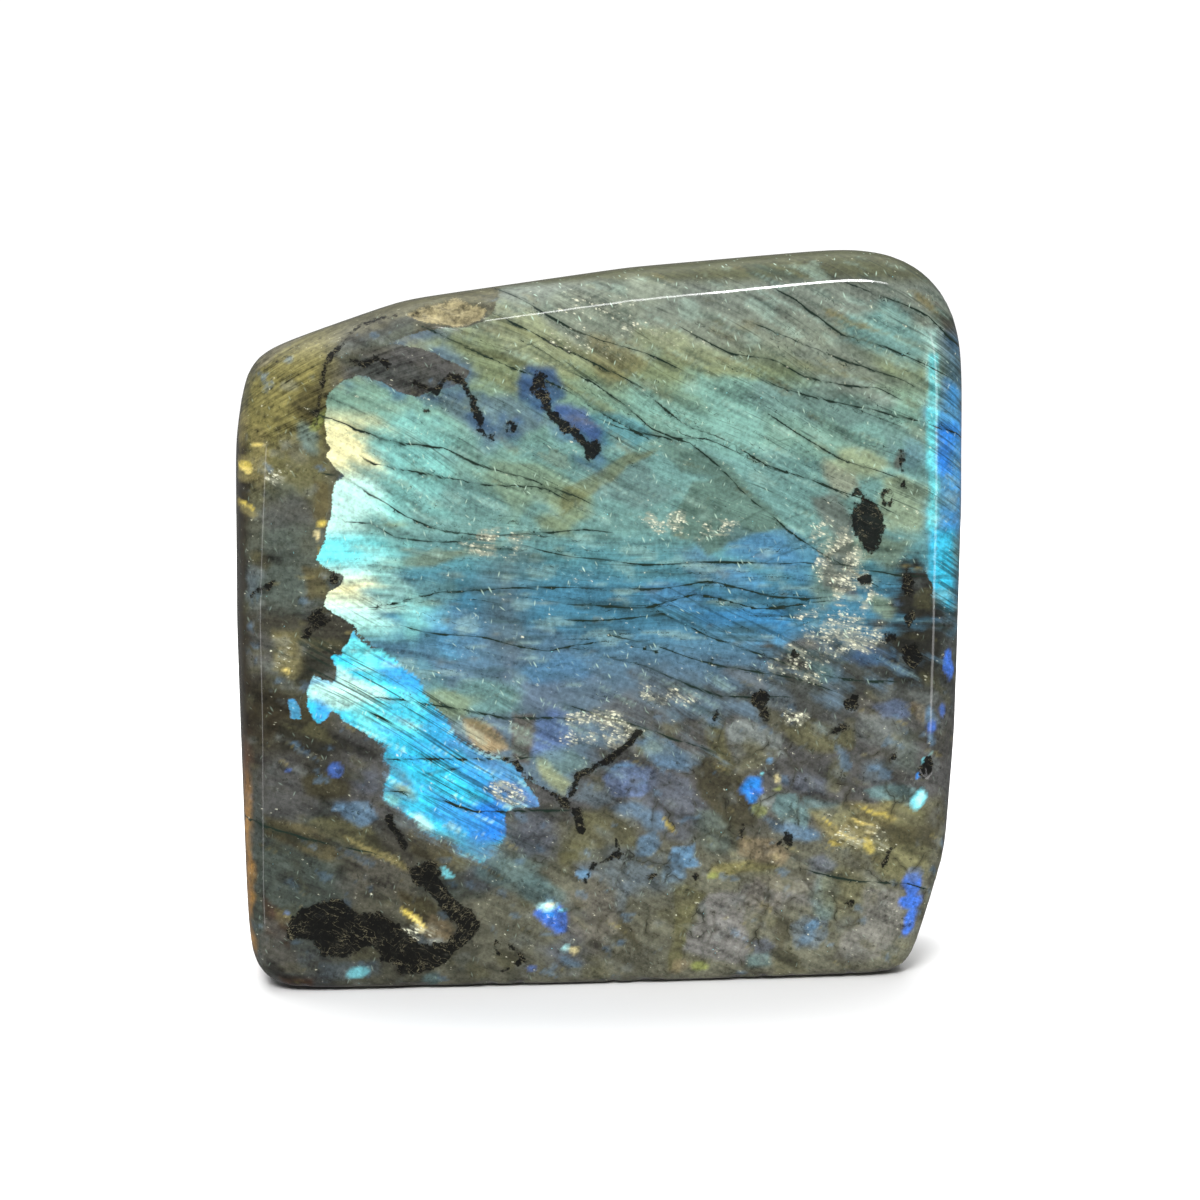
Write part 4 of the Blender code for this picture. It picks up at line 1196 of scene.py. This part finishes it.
EDGE_REACH = 3.0
amounts_to_keep = {
    "flash_edge": np.clip(flash_edge, -EDGE_REACH, EDGE_REACH),
    "black_edge": np.clip(black_edge, -EDGE_REACH, EDGE_REACH),
    "chip_edge": np.clip(chip_edge, -EDGE_REACH, EDGE_REACH),
    "glitter": glitter,
    "combed": strongest(COMBED_PLACES) * (1.0 - back_share),
    "calm": strongest(CALM_PLACES),
    "blocky": strongest(BLOCKY_PLACES, LEAST_BLOCKY),
    "brushed": strongest(BRUSHED_PLACES) * (1.0 - back_share),
    "softness": softness,
    "level": level,
    "steepness": steepness,
}
for i, (slope, cracks_of_set) in enumerate(CRACK_SETS):
    amounts_to_keep[f"crack_phase_{i}"], amounts_to_keep[f"crack_width_{i}"] = crack_set(slope, cracks_of_set)
keep_colour("rock_tint", rock)
keep_colour("flash_tint", flash)
for name, amounts in amounts_to_keep.items():
    keep_amount(name, amounts)


# The finish: a glassy lapidary polish over the feldspar. Under it lie the clouds and the flashing layers,
# with their striae, cracks, flakes and inclusions. All detail is set out in millimetres on the block itself.
class Lead:
    """A value in a material. Sums on it add Math nodes."""

    def __init__(self, tree, socket):
        self.tree = tree
        self.socket = socket

    def add(self, kind, settings, values, output):
        """Adds any node: its type, its settings, the values or leads of its sockets, and its output."""
        made = self.tree.nodes.new(kind)
        for name, value in settings.items():
            setattr(made, name, value)
        sockets = {socket.identifier: socket for socket in made.inputs}
        for name, value in values.items():
            if isinstance(value, Lead):
                self.tree.links.new(value.socket, sockets[name])
            else:
                sockets[name].default_value = value
        outputs = {socket.identifier: socket for socket in made.outputs}
        return Lead(self.tree, outputs[output])

    def sum(self, operation, first, second=0.0):
        values = {"Value": first, "Value_001": second}
        return self.add("ShaderNodeMath", {"operation": operation}, values, "Value")

    def __add__(self, other):
        return self.sum("ADD", self, other)

    def __radd__(self, other):
        return self.sum("ADD", other, self)

    def __sub__(self, other):
        return self.sum("SUBTRACT", self, other)

    def __rsub__(self, other):
        return self.sum("SUBTRACT", other, self)

    def __mul__(self, other):
        return self.sum("MULTIPLY", self, other)

    def __rmul__(self, other):
        return self.sum("MULTIPLY", other, self)

    def __truediv__(self, other):
        return self.sum("DIVIDE", self, other)

    def __abs__(self):
        return self.sum("ABSOLUTE", self)

    def rise(self, low, high):
        """0 up to low and 1 from high on. It falls where low is above high."""
        settings = {"interpolation_type": "SMOOTHSTEP"}
        values = {"Value": self, "From Min": low, "From Max": high}
        return self.add("ShaderNodeMapRange", settings, values, "Result")


polish = bpy.data.materials.new("polished_labradorite")
polish.use_nodes = True
tree = polish.node_tree
shader = tree.nodes["Principled BSDF"]
start = Lead(tree, None)


def kept(name, output="Fac"):
    """A number or colour kept on the skin."""
    return start.add("ShaderNodeAttribute", {"attribute_name": name}, {}, output)


def colour(name, tints):
    """A tint as a socket takes it."""
    return (*tints[name], 1.0)


def vector_sum(operation, first, second):
    """A sum on vectors or colours."""
    values = {"Vector": first, "Scale" if operation == "SCALE" else "Vector_001": second}
    return start.add("ShaderNodeVectorMath", {"operation": operation}, values, "Vector")


def grain(vector, scale, detail=2.0, roughness=0.5, output="Fac"):
    """Noise from 0 to 1, or as a colour."""
    values = {"Vector": vector, "Scale": scale, "Detail": detail, "Roughness": roughness}
    return start.add("ShaderNodeTexNoise", {}, values, output)


# Places on the block in millimetres, bent a little so that no plane runs quite straight.
BEND_SPAN = 38.0
BEND = 9.0
block = start.add("ShaderNodeTexCoord", {}, {}, "Object")
in_mm = vector_sum("SCALE", block, 1.0 / MM)
bending = vector_sum("SUBTRACT", grain(in_mm, 1.0 / BEND_SPAN, 1.0, 0.4, "Color"), (0.5, 0.5, 0.5))
bent = vector_sum("ADD", in_mm, vector_sum("SCALE", bending, BEND))


def along_plane(dip, stretch, thickness, lean=6.0):
    """Coordinates that run along a set of planes which dip to the right by so many degrees. One unit is
    stretch millimetres along the planes and thickness millimetres across them."""
    settings = {"vector_type": "POINT"}
    values = {"Vector": bent, "Rotation": (math.radians(lean), math.radians(-dip), 0.0)}
    turned = start.add("ShaderNodeMapping", settings, values, "Vector")
    return vector_sum("MULTIPLY", turned, (1.0 / stretch, 1.0 / stretch, 1.0 / thickness))


steepness_here = kept("steepness")
shown = 1.0 - kept("level")


def layers(stretch, thickness, detail, roughness):
    """Noise in thin layers along the flashing planes, steep or shallow as they are at each place."""
    steep = grain(along_plane(STEEP_DIP, stretch, thickness), 1.0, detail, roughness)
    shallow = grain(along_plane(SHALLOW_DIP, stretch, thickness), 1.0, detail, roughness)
    return (shallow + (steep - shallow) * steepness_here - 0.5) * shown + 0.5


fine = grain(in_mm, 1.3, 4.0, 0.65)
fray = grain(in_mm, 2.8, 3.0, 0.65)
cloud = grain(in_mm, 0.2, 5.0, 0.65)
striae = layers(26.0, 2.2, 5.0, 0.72)
streaks = layers(15.0, 0.8, 2.0, 0.5)
threads = layers(9.0, 0.35, 1.0, 0.5)
cross_streaks = grain(along_plane(-22.0, 18.0, 1.1), 1.0, 1.0, 0.5)
brushing = grain(along_plane(-26.0, 12.0, 0.6), 1.0, 3.0, 0.65)
waver = grain(in_mm, 0.35, 3.0, 0.6)


def swing(noise_here, reach):
    """Noise from 0 to 1 turned into a swing to both sides of nothing."""
    return (noise_here - 0.5) * reach


def shaded(paint, amount):
    """A colour made lighter or darker by a factor."""
    return vector_sum("SCALE", paint, start.sum("MAXIMUM", amount, 0.1))


def finished(principled, finish):
    """Sets what is the same all over a surface."""
    for socket, value in finish.items():
        principled.inputs[socket].default_value = value


def mixed(first, second, share):
    """Two colours mixed. Either may be a plain colour."""
    settings = {"data_type": "RGBA", "clamp_factor": True}
    values = {"Factor_Float": share, "A_Color": first, "B_Color": second}
    return start.add("ShaderNodeMix", settings, values, "Result_Color")


# The rock: blocky grains some millimetres wide, each with its own tone, with soft dark gaps between them and
# here and there a thin seam.
GRAIN_WIDTH = 7.0
SEAM_TINTS = {"gap": tint(56, 54, 40), "seam": tint(26, 28, 20)}
warped = vector_sum("ADD", bent, vector_sum("SCALE", grain(in_mm, 0.5, 1.0, 0.5, "Color"), 2.4))
blocks = {"Vector": vector_sum("SCALE", warped, 1.0 / GRAIN_WIDTH), "Scale": 1.0, "Randomness": 0.9}
block_chance = start.add("ShaderNodeTexVoronoi", {}, blocks, "Color")
block_tone = start.add("ShaderNodeSeparateColor", {}, {"Color": block_chance}, "Red")
to_seam = start.add("ShaderNodeTexVoronoi", {"feature": "DISTANCE_TO_EDGE"}, blocks, "Distance")
blocky = kept("blocky")
gaps = to_seam.rise(0.13, 0.0) * cloud.rise(0.38, 0.62) * blocky
seams = to_seam.rise(0.014, 0.003) * cloud.rise(0.50, 0.62) * blocky
rock_light = 1.0 + swing(block_tone, 0.4) * blocky + swing(cloud, 1.5) + swing(fine, 1.9)
rock_light = rock_light + swing(striae, 1.7) + swing(streaks, 0.5)
rock_light = rock_light + swing(brushing, 3.4) * kept("brushed")
rock_paint = shaded(kept("rock_tint", "Color"), rock_light)
rock_paint = mixed(rock_paint, colour("gap", SEAM_TINTS), gaps * 0.7)
rock_paint = mixed(rock_paint, colour("seam", SEAM_TINTS), seams * 0.7)
pits = grain(in_mm, 0.8, 3.0, 0.65).rise(0.60, 0.72) * 0.6 + fine.rise(0.68, 0.74) * 0.5
rock_paint = mixed(rock_paint, colour("seam", SEAM_TINTS), pits)

# The sheet: its light comes and goes from layer to layer.
flash_light = 0.98 + swing(striae, 2.0) + swing(streaks, 0.7) + swing(fine, 1.5) + swing(cloud, 0.7)
flash_paint = shaded(kept("flash_tint", "Color"), flash_light)
flash_edge_here = kept("flash_edge")
crisp_share = (flash_edge_here + swing(fray, 2.4) + swing(striae, 2.4)).rise(-0.3, 0.3)
soft_share = (flash_edge_here + swing(striae, 3.0) + swing(cloud, 1.5)).rise(-0.9, 1.1)
flash_share = crisp_share + (soft_share - crisp_share) * kept("softness")
paint = mixed(rock_paint, flash_paint, flash_share)

# The cracks, and the thin dark streaks that run along the planes between them.
CRACK_TINTS = {"crack": tint(26, 42, 34)}
LEAST_WIDTH = 0.0004


def from_line(phase, width):
    """How many widths a place is from the nearest line. A phase is whole on each line."""
    return abs(start.sum("SINE", phase * math.pi)) / math.pi / (width + LEAST_WIDTH)


def cracks(i):
    """The cracks of one set: dark in the middle of a crack, with a faint shadow on both sides, and hairlines
    that run beside them three to a gap."""
    phase = kept(f"crack_phase_{i}") + swing(waver, 0.05)
    width = kept(f"crack_width_{i}")
    crack_width = width * (0.25 + 1.5 * waver.rise(0.32, 0.68))
    spread = from_line(phase, crack_width)
    crack = spread.rise(1.6, 0.3) * 0.75 + spread.rise(6.0, 0.6) * 0.3
    crack = crack * (0.2 + 0.8 * streaks.rise(0.34, 0.54))
    hairline = from_line(phase * 3.0 + swing(waver, 1.4), width * 1.4).rise(1.2, 0.2)
    return (crack + hairline * threads.rise(0.46, 0.60) * 0.7) * width.rise(0.0, 0.006)


crack_share = cracks(0)
for i in range(1, len(CRACK_SETS)):
    crack_share = crack_share + cracks(i)
comb = grain(along_plane(31.0, 20.0, 0.55), 1.0, 2.0, 0.6)
streak_share = streaks.rise(0.62, 0.76) * 0.6 + threads.rise(0.66, 0.78) * 0.4
streak_share = streak_share + cross_streaks.rise(0.70, 0.80) * 0.3
streak_share = streak_share * (0.35 + 0.65 * flash_share) * (1.0 - 0.7 * kept("calm"))
streak_share = streak_share + comb.rise(0.50, 0.60) * kept("combed") * 0.8
paint = mixed(paint, colour("crack", CRACK_TINTS), crack_share + streak_share)

# Cleavage flakes as painted glints: short bright painted dashes where they lie edge on, and painted grains of
# glitter with a pale painted sheen where they crowd.
PAINTED_GLINT_TINTS = {
    "painted_flake_glint": tint(206, 236, 214),
    "glitter": tint(238, 238, 210),
    "painted_sheen": tint(172, 174, 152),
    "painted_spark": tint(150, 240, 250),
}


def scattered(cells):
    """Scattered points, one to a cell: how far off the nearest one is, and that point's own chance."""
    values = {"Vector": cells, "Scale": 1.0}
    distance = start.add("ShaderNodeTexVoronoi", {}, values, "Distance")
    chance = start.add("ShaderNodeTexVoronoi", {}, values, "Color")
    return distance, start.add("ShaderNodeSeparateColor", {}, {"Color": chance}, "Red")


def dashes(dip, length, keep):
    """Short bright dashes of painted glint that dip by so many degrees. Keep is the share of them that show.
    """
    distance, lucky = scattered(along_plane(dip, length * 2.2, length * 0.55, 0.0))
    return distance.rise(0.24, 0.06) * lucky.rise(1.0 - keep, 1.0)


crowded = kept("glitter") * (0.3 + 1.4 * waver.rise(0.38, 0.60))
# Painted glints: bright dashes of the flakes that lie edge on.
painted_flake_glints = dashes(66.0, 1.3, 0.26) + dashes(-72.0, 1.1, 0.22) + dashes(38.0, 1.1, 0.14)
painted_flake_glints = painted_flake_glints * (0.5 + crowded * 1.4) * (0.3 + 0.7 * flash_share)
paint = mixed(paint, colour("painted_flake_glint", PAINTED_GLINT_TINTS), painted_flake_glints)
# A pale painted sheen along the layers where the flakes crowd.
painted_sheen_share = 0.1 + streaks.rise(0.44, 0.62) * 0.3 + threads.rise(0.46, 0.60) * 0.4 + swing(fine, 1.6)
paint = mixed(paint, colour("painted_sheen", PAINTED_GLINT_TINTS), crowded.rise(0.2, 1.0) * painted_sheen_share)


def flecks(size):
    """Painted glint: grains that catch the light, so many millimetres across, a few everywhere and many where
    they crowd.
    """
    distance, lucky = scattered(along_plane(18.0, size * 2.4, size))
    return distance.rise(0.50, 0.26) * (lucky + crowded * 0.5 + swing(fine, 1.1)).rise(1.06, 1.22)


# Painted glints: grains of glitter that catch the light.
painted_glint_grains = flecks(0.28) + flecks(0.5)
paint = mixed(paint, colour("glitter", PAINTED_GLINT_TINTS), painted_glint_grains * (0.3 + 0.6 * fray.rise(0.40, 0.60)))
# Cyan sparks scattered all over, as painted glints.
painted_sparks = grain(in_mm, 1.7, 2.0, 0.6).rise(0.76, 0.80)
paint = mixed(paint, colour("painted_spark", PAINTED_GLINT_TINTS), painted_sparks * 0.7)

# The black crystals, with grey dust and a filigree of dull brassy threads in them.
BLACK_TINTS = {"soot": tint(11, 12, 10), "dust": tint(44, 44, 38), "wire": tint(124, 118, 92)}
dust = grain(in_mm, 1.1, 4.0, 0.7).rise(0.50, 0.70)
falling = abs(grain(along_plane(24.0, 3.2, 1.3), 1.0, 3.0, 0.6) - 0.5).rise(0.016, 0.002)
rising = abs(grain(along_plane(-40.0, 2.6, 1.1), 1.0, 3.0, 0.6) - 0.5).rise(0.014, 0.002)
wires = falling * waver.rise(0.40, 0.62) + rising * cloud.rise(0.44, 0.62)
ink = mixed(colour("soot", BLACK_TINTS), colour("dust", BLACK_TINTS), dust * 0.35)
ink = mixed(ink, colour("wire", BLACK_TINTS), wires * 0.6)
black_share = (kept("black_edge") + swing(waver, 2.2) + swing(fine, 2.0)).rise(-0.2, 0.2)
paint = mixed(paint, ink, black_share * 0.97)

# The chip: a fresh, sugary break, paler than the polish and without its gloss.
CHIP_TINTS = {"broken": tint(150, 140, 106)}
chip_bare = (kept("chip_edge") + swing(fray, 1.6)).rise(-0.1, 0.3)
broken = shaded(tuple(CHIP_TINTS["broken"]), 1.0 + swing(fine, 3.0) + swing(waver, 3.0))
paint = mixed(paint, broken, chip_bare * 0.8)

# The polish, as a thin clear coat over the stone: weaker on the blacks and nearly missing on the chip.
POLISH = {"IOR": 1.56, "Specular IOR Level": 0.1, "Coat Roughness": 0.06, "Coat IOR": 1.56}
COAT_WEIGHT = 0.8
roughness = 0.4 + swing(fine, 0.2) + black_share * 0.2
gloss = (1.0 - black_share * 0.4 - chip_bare * 0.9) * COAT_WEIGHT
tree.links.new(paint.socket, shader.inputs["Base Color"])
tree.links.new(roughness.socket, shader.inputs["Roughness"])
tree.links.new(gloss.socket, shader.inputs["Coat Weight"])
finished(shader, POLISH)
stone_mesh.materials.clear()
stone_mesh.materials.append(polish)

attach(stone, "root")
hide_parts("freeform_stone")

# The stand-in studio: a plain pale floor that ends just outside the camera's view, under a soft white sky.
# The sky is soft overhead and dim around, so the polish has little to mirror. The camera sees it plain white.
FLOOR_RADIUS = 0.65
FLOOR_FRONT = -0.2
FLOOR_SIDES = 128
FLOOR_FINISH = {"Base Color": (0.93, 0.93, 0.93, 1.0), "Roughness": 0.9, "Specular IOR Level": 0.1}
floor = bmesh.new()
bmesh.ops.create_circle(floor, cap_ends=True, segments=FLOOR_SIDES, radius=FLOOR_RADIUS)
bmesh.ops.translate(floor, vec=(0.0, FLOOR_RADIUS + FLOOR_FRONT, 0.0), verts=floor.verts)
floor_mesh = bpy.data.meshes.new("floor")
floor.to_mesh(floor_mesh)
floor.free()
floor_object = bpy.data.objects.new("floor", floor_mesh)
bpy.context.scene.collection.objects.link(floor_object)
floor_paint = bpy.data.materials.new("pale_floor")
floor_paint.use_nodes = True
finished(floor_paint.node_tree.nodes["Principled BSDF"], FLOOR_FINISH)
floor_mesh.materials.append(floor_paint)
floor_object.visible_glossy = False

SKY_WHITE = 1.1
SKY_AROUND = 0.14
SKY_OVERHEAD = 0.7
world = bpy.data.worlds.new("soft_sky")
world.use_nodes = True
sky = Lead(world.node_tree, None)
direction = sky.add("ShaderNodeTexCoord", {}, {}, "Generated")
overhead = sky.add("ShaderNodeSeparateXYZ", {}, {"Vector": direction}, "Z")
seen = sky.add("ShaderNodeLightPath", {}, {}, "Is Camera Ray")
sky_light = SKY_AROUND + overhead.rise(0.4, 0.95) * SKY_OVERHEAD
sky_light = sky_light + (SKY_WHITE - sky_light) * seen
background = world.node_tree.nodes["Background"]
background.inputs["Color"].default_value = (1.0, 1.0, 1.0, 1.0)
world.node_tree.links.new(sky_light.socket, background.inputs["Strength"])
bpy.context.scene.world = world
bpy.context.scene.view_settings.view_transform = "Standard"


def softbox(name, place, aim, size, watts, mirrored=True):
    """A rectangular lamp at a place, turned towards a point. It either shines on the stone or is only seen in
    the polish."""
    lamp = bpy.data.lights.new(name, "AREA")
    lamp.shape = "RECTANGLE"
    lamp.size = size[0]
    lamp.size_y = size[1]
    lamp.energy = watts
    box = bpy.data.objects.new(name, lamp)
    box.location = place
    box.rotation_euler = (Vector(aim) - Vector(place)).to_track_quat("-Z", "Y").to_euler()
    box.visible_glossy = mirrored
    box.visible_diffuse = not mirrored
    bpy.context.scene.collection.objects.link(box)


STONE_MIDDLE = (0.0, 0.0, 0.06)
softbox("key_box", (-0.35, -1.1, 1.0), STONE_MIDDLE, (0.5, 0.5), 19.0, mirrored=False)
softbox("floor_box", (0.0, 0.7, 1.1), (0.0, 0.4, 0.0), (1.4, 1.0), 24.0, mirrored=False)
softbox("top_strip", (0.16, -0.70, 0.60), STONE_MIDDLE, (0.42, 0.05), 0.9)
softbox("top_core", (0.20, -0.70, 0.60), STONE_MIDDLE, (0.17, 0.05), 1.7)
softbox("right_strip", (0.60, -0.78, 0.12), STONE_MIDDLE, (0.06, 0.36), 0.3)
softbox("left_strip", (-0.9, -0.5, 0.06), STONE_MIDDLE, (0.03, 0.5), 0.2)

# The camera: a little to the left of the stone and a little above it, as in the photograph.
CAMERA_AZIMUTH = math.radians(-6.0)
CAMERA_ELEVATION = math.radians(6.0)
CAMERA_DISTANCE = 0.45
CAMERA_LENS = 78.2
CAMERA_AIM = (0.0007, 0.0, 0.0622)
camera = bpy.data.objects.new("camera", bpy.data.cameras.new("camera"))
camera.data.lens = CAMERA_LENS
toward_camera = Vector(
    (
        math.sin(CAMERA_AZIMUTH) * math.cos(CAMERA_ELEVATION),
        -math.cos(CAMERA_AZIMUTH) * math.cos(CAMERA_ELEVATION),
        math.sin(CAMERA_ELEVATION),
    )
)
camera.location = Vector(CAMERA_AIM) + toward_camera * CAMERA_DISTANCE
camera.rotation_euler = (-toward_camera).to_track_quat("-Z", "Y").to_euler()
camera.data.clip_start = 0.01
bpy.context.scene.collection.objects.link(camera)
bpy.context.scene.camera = camera
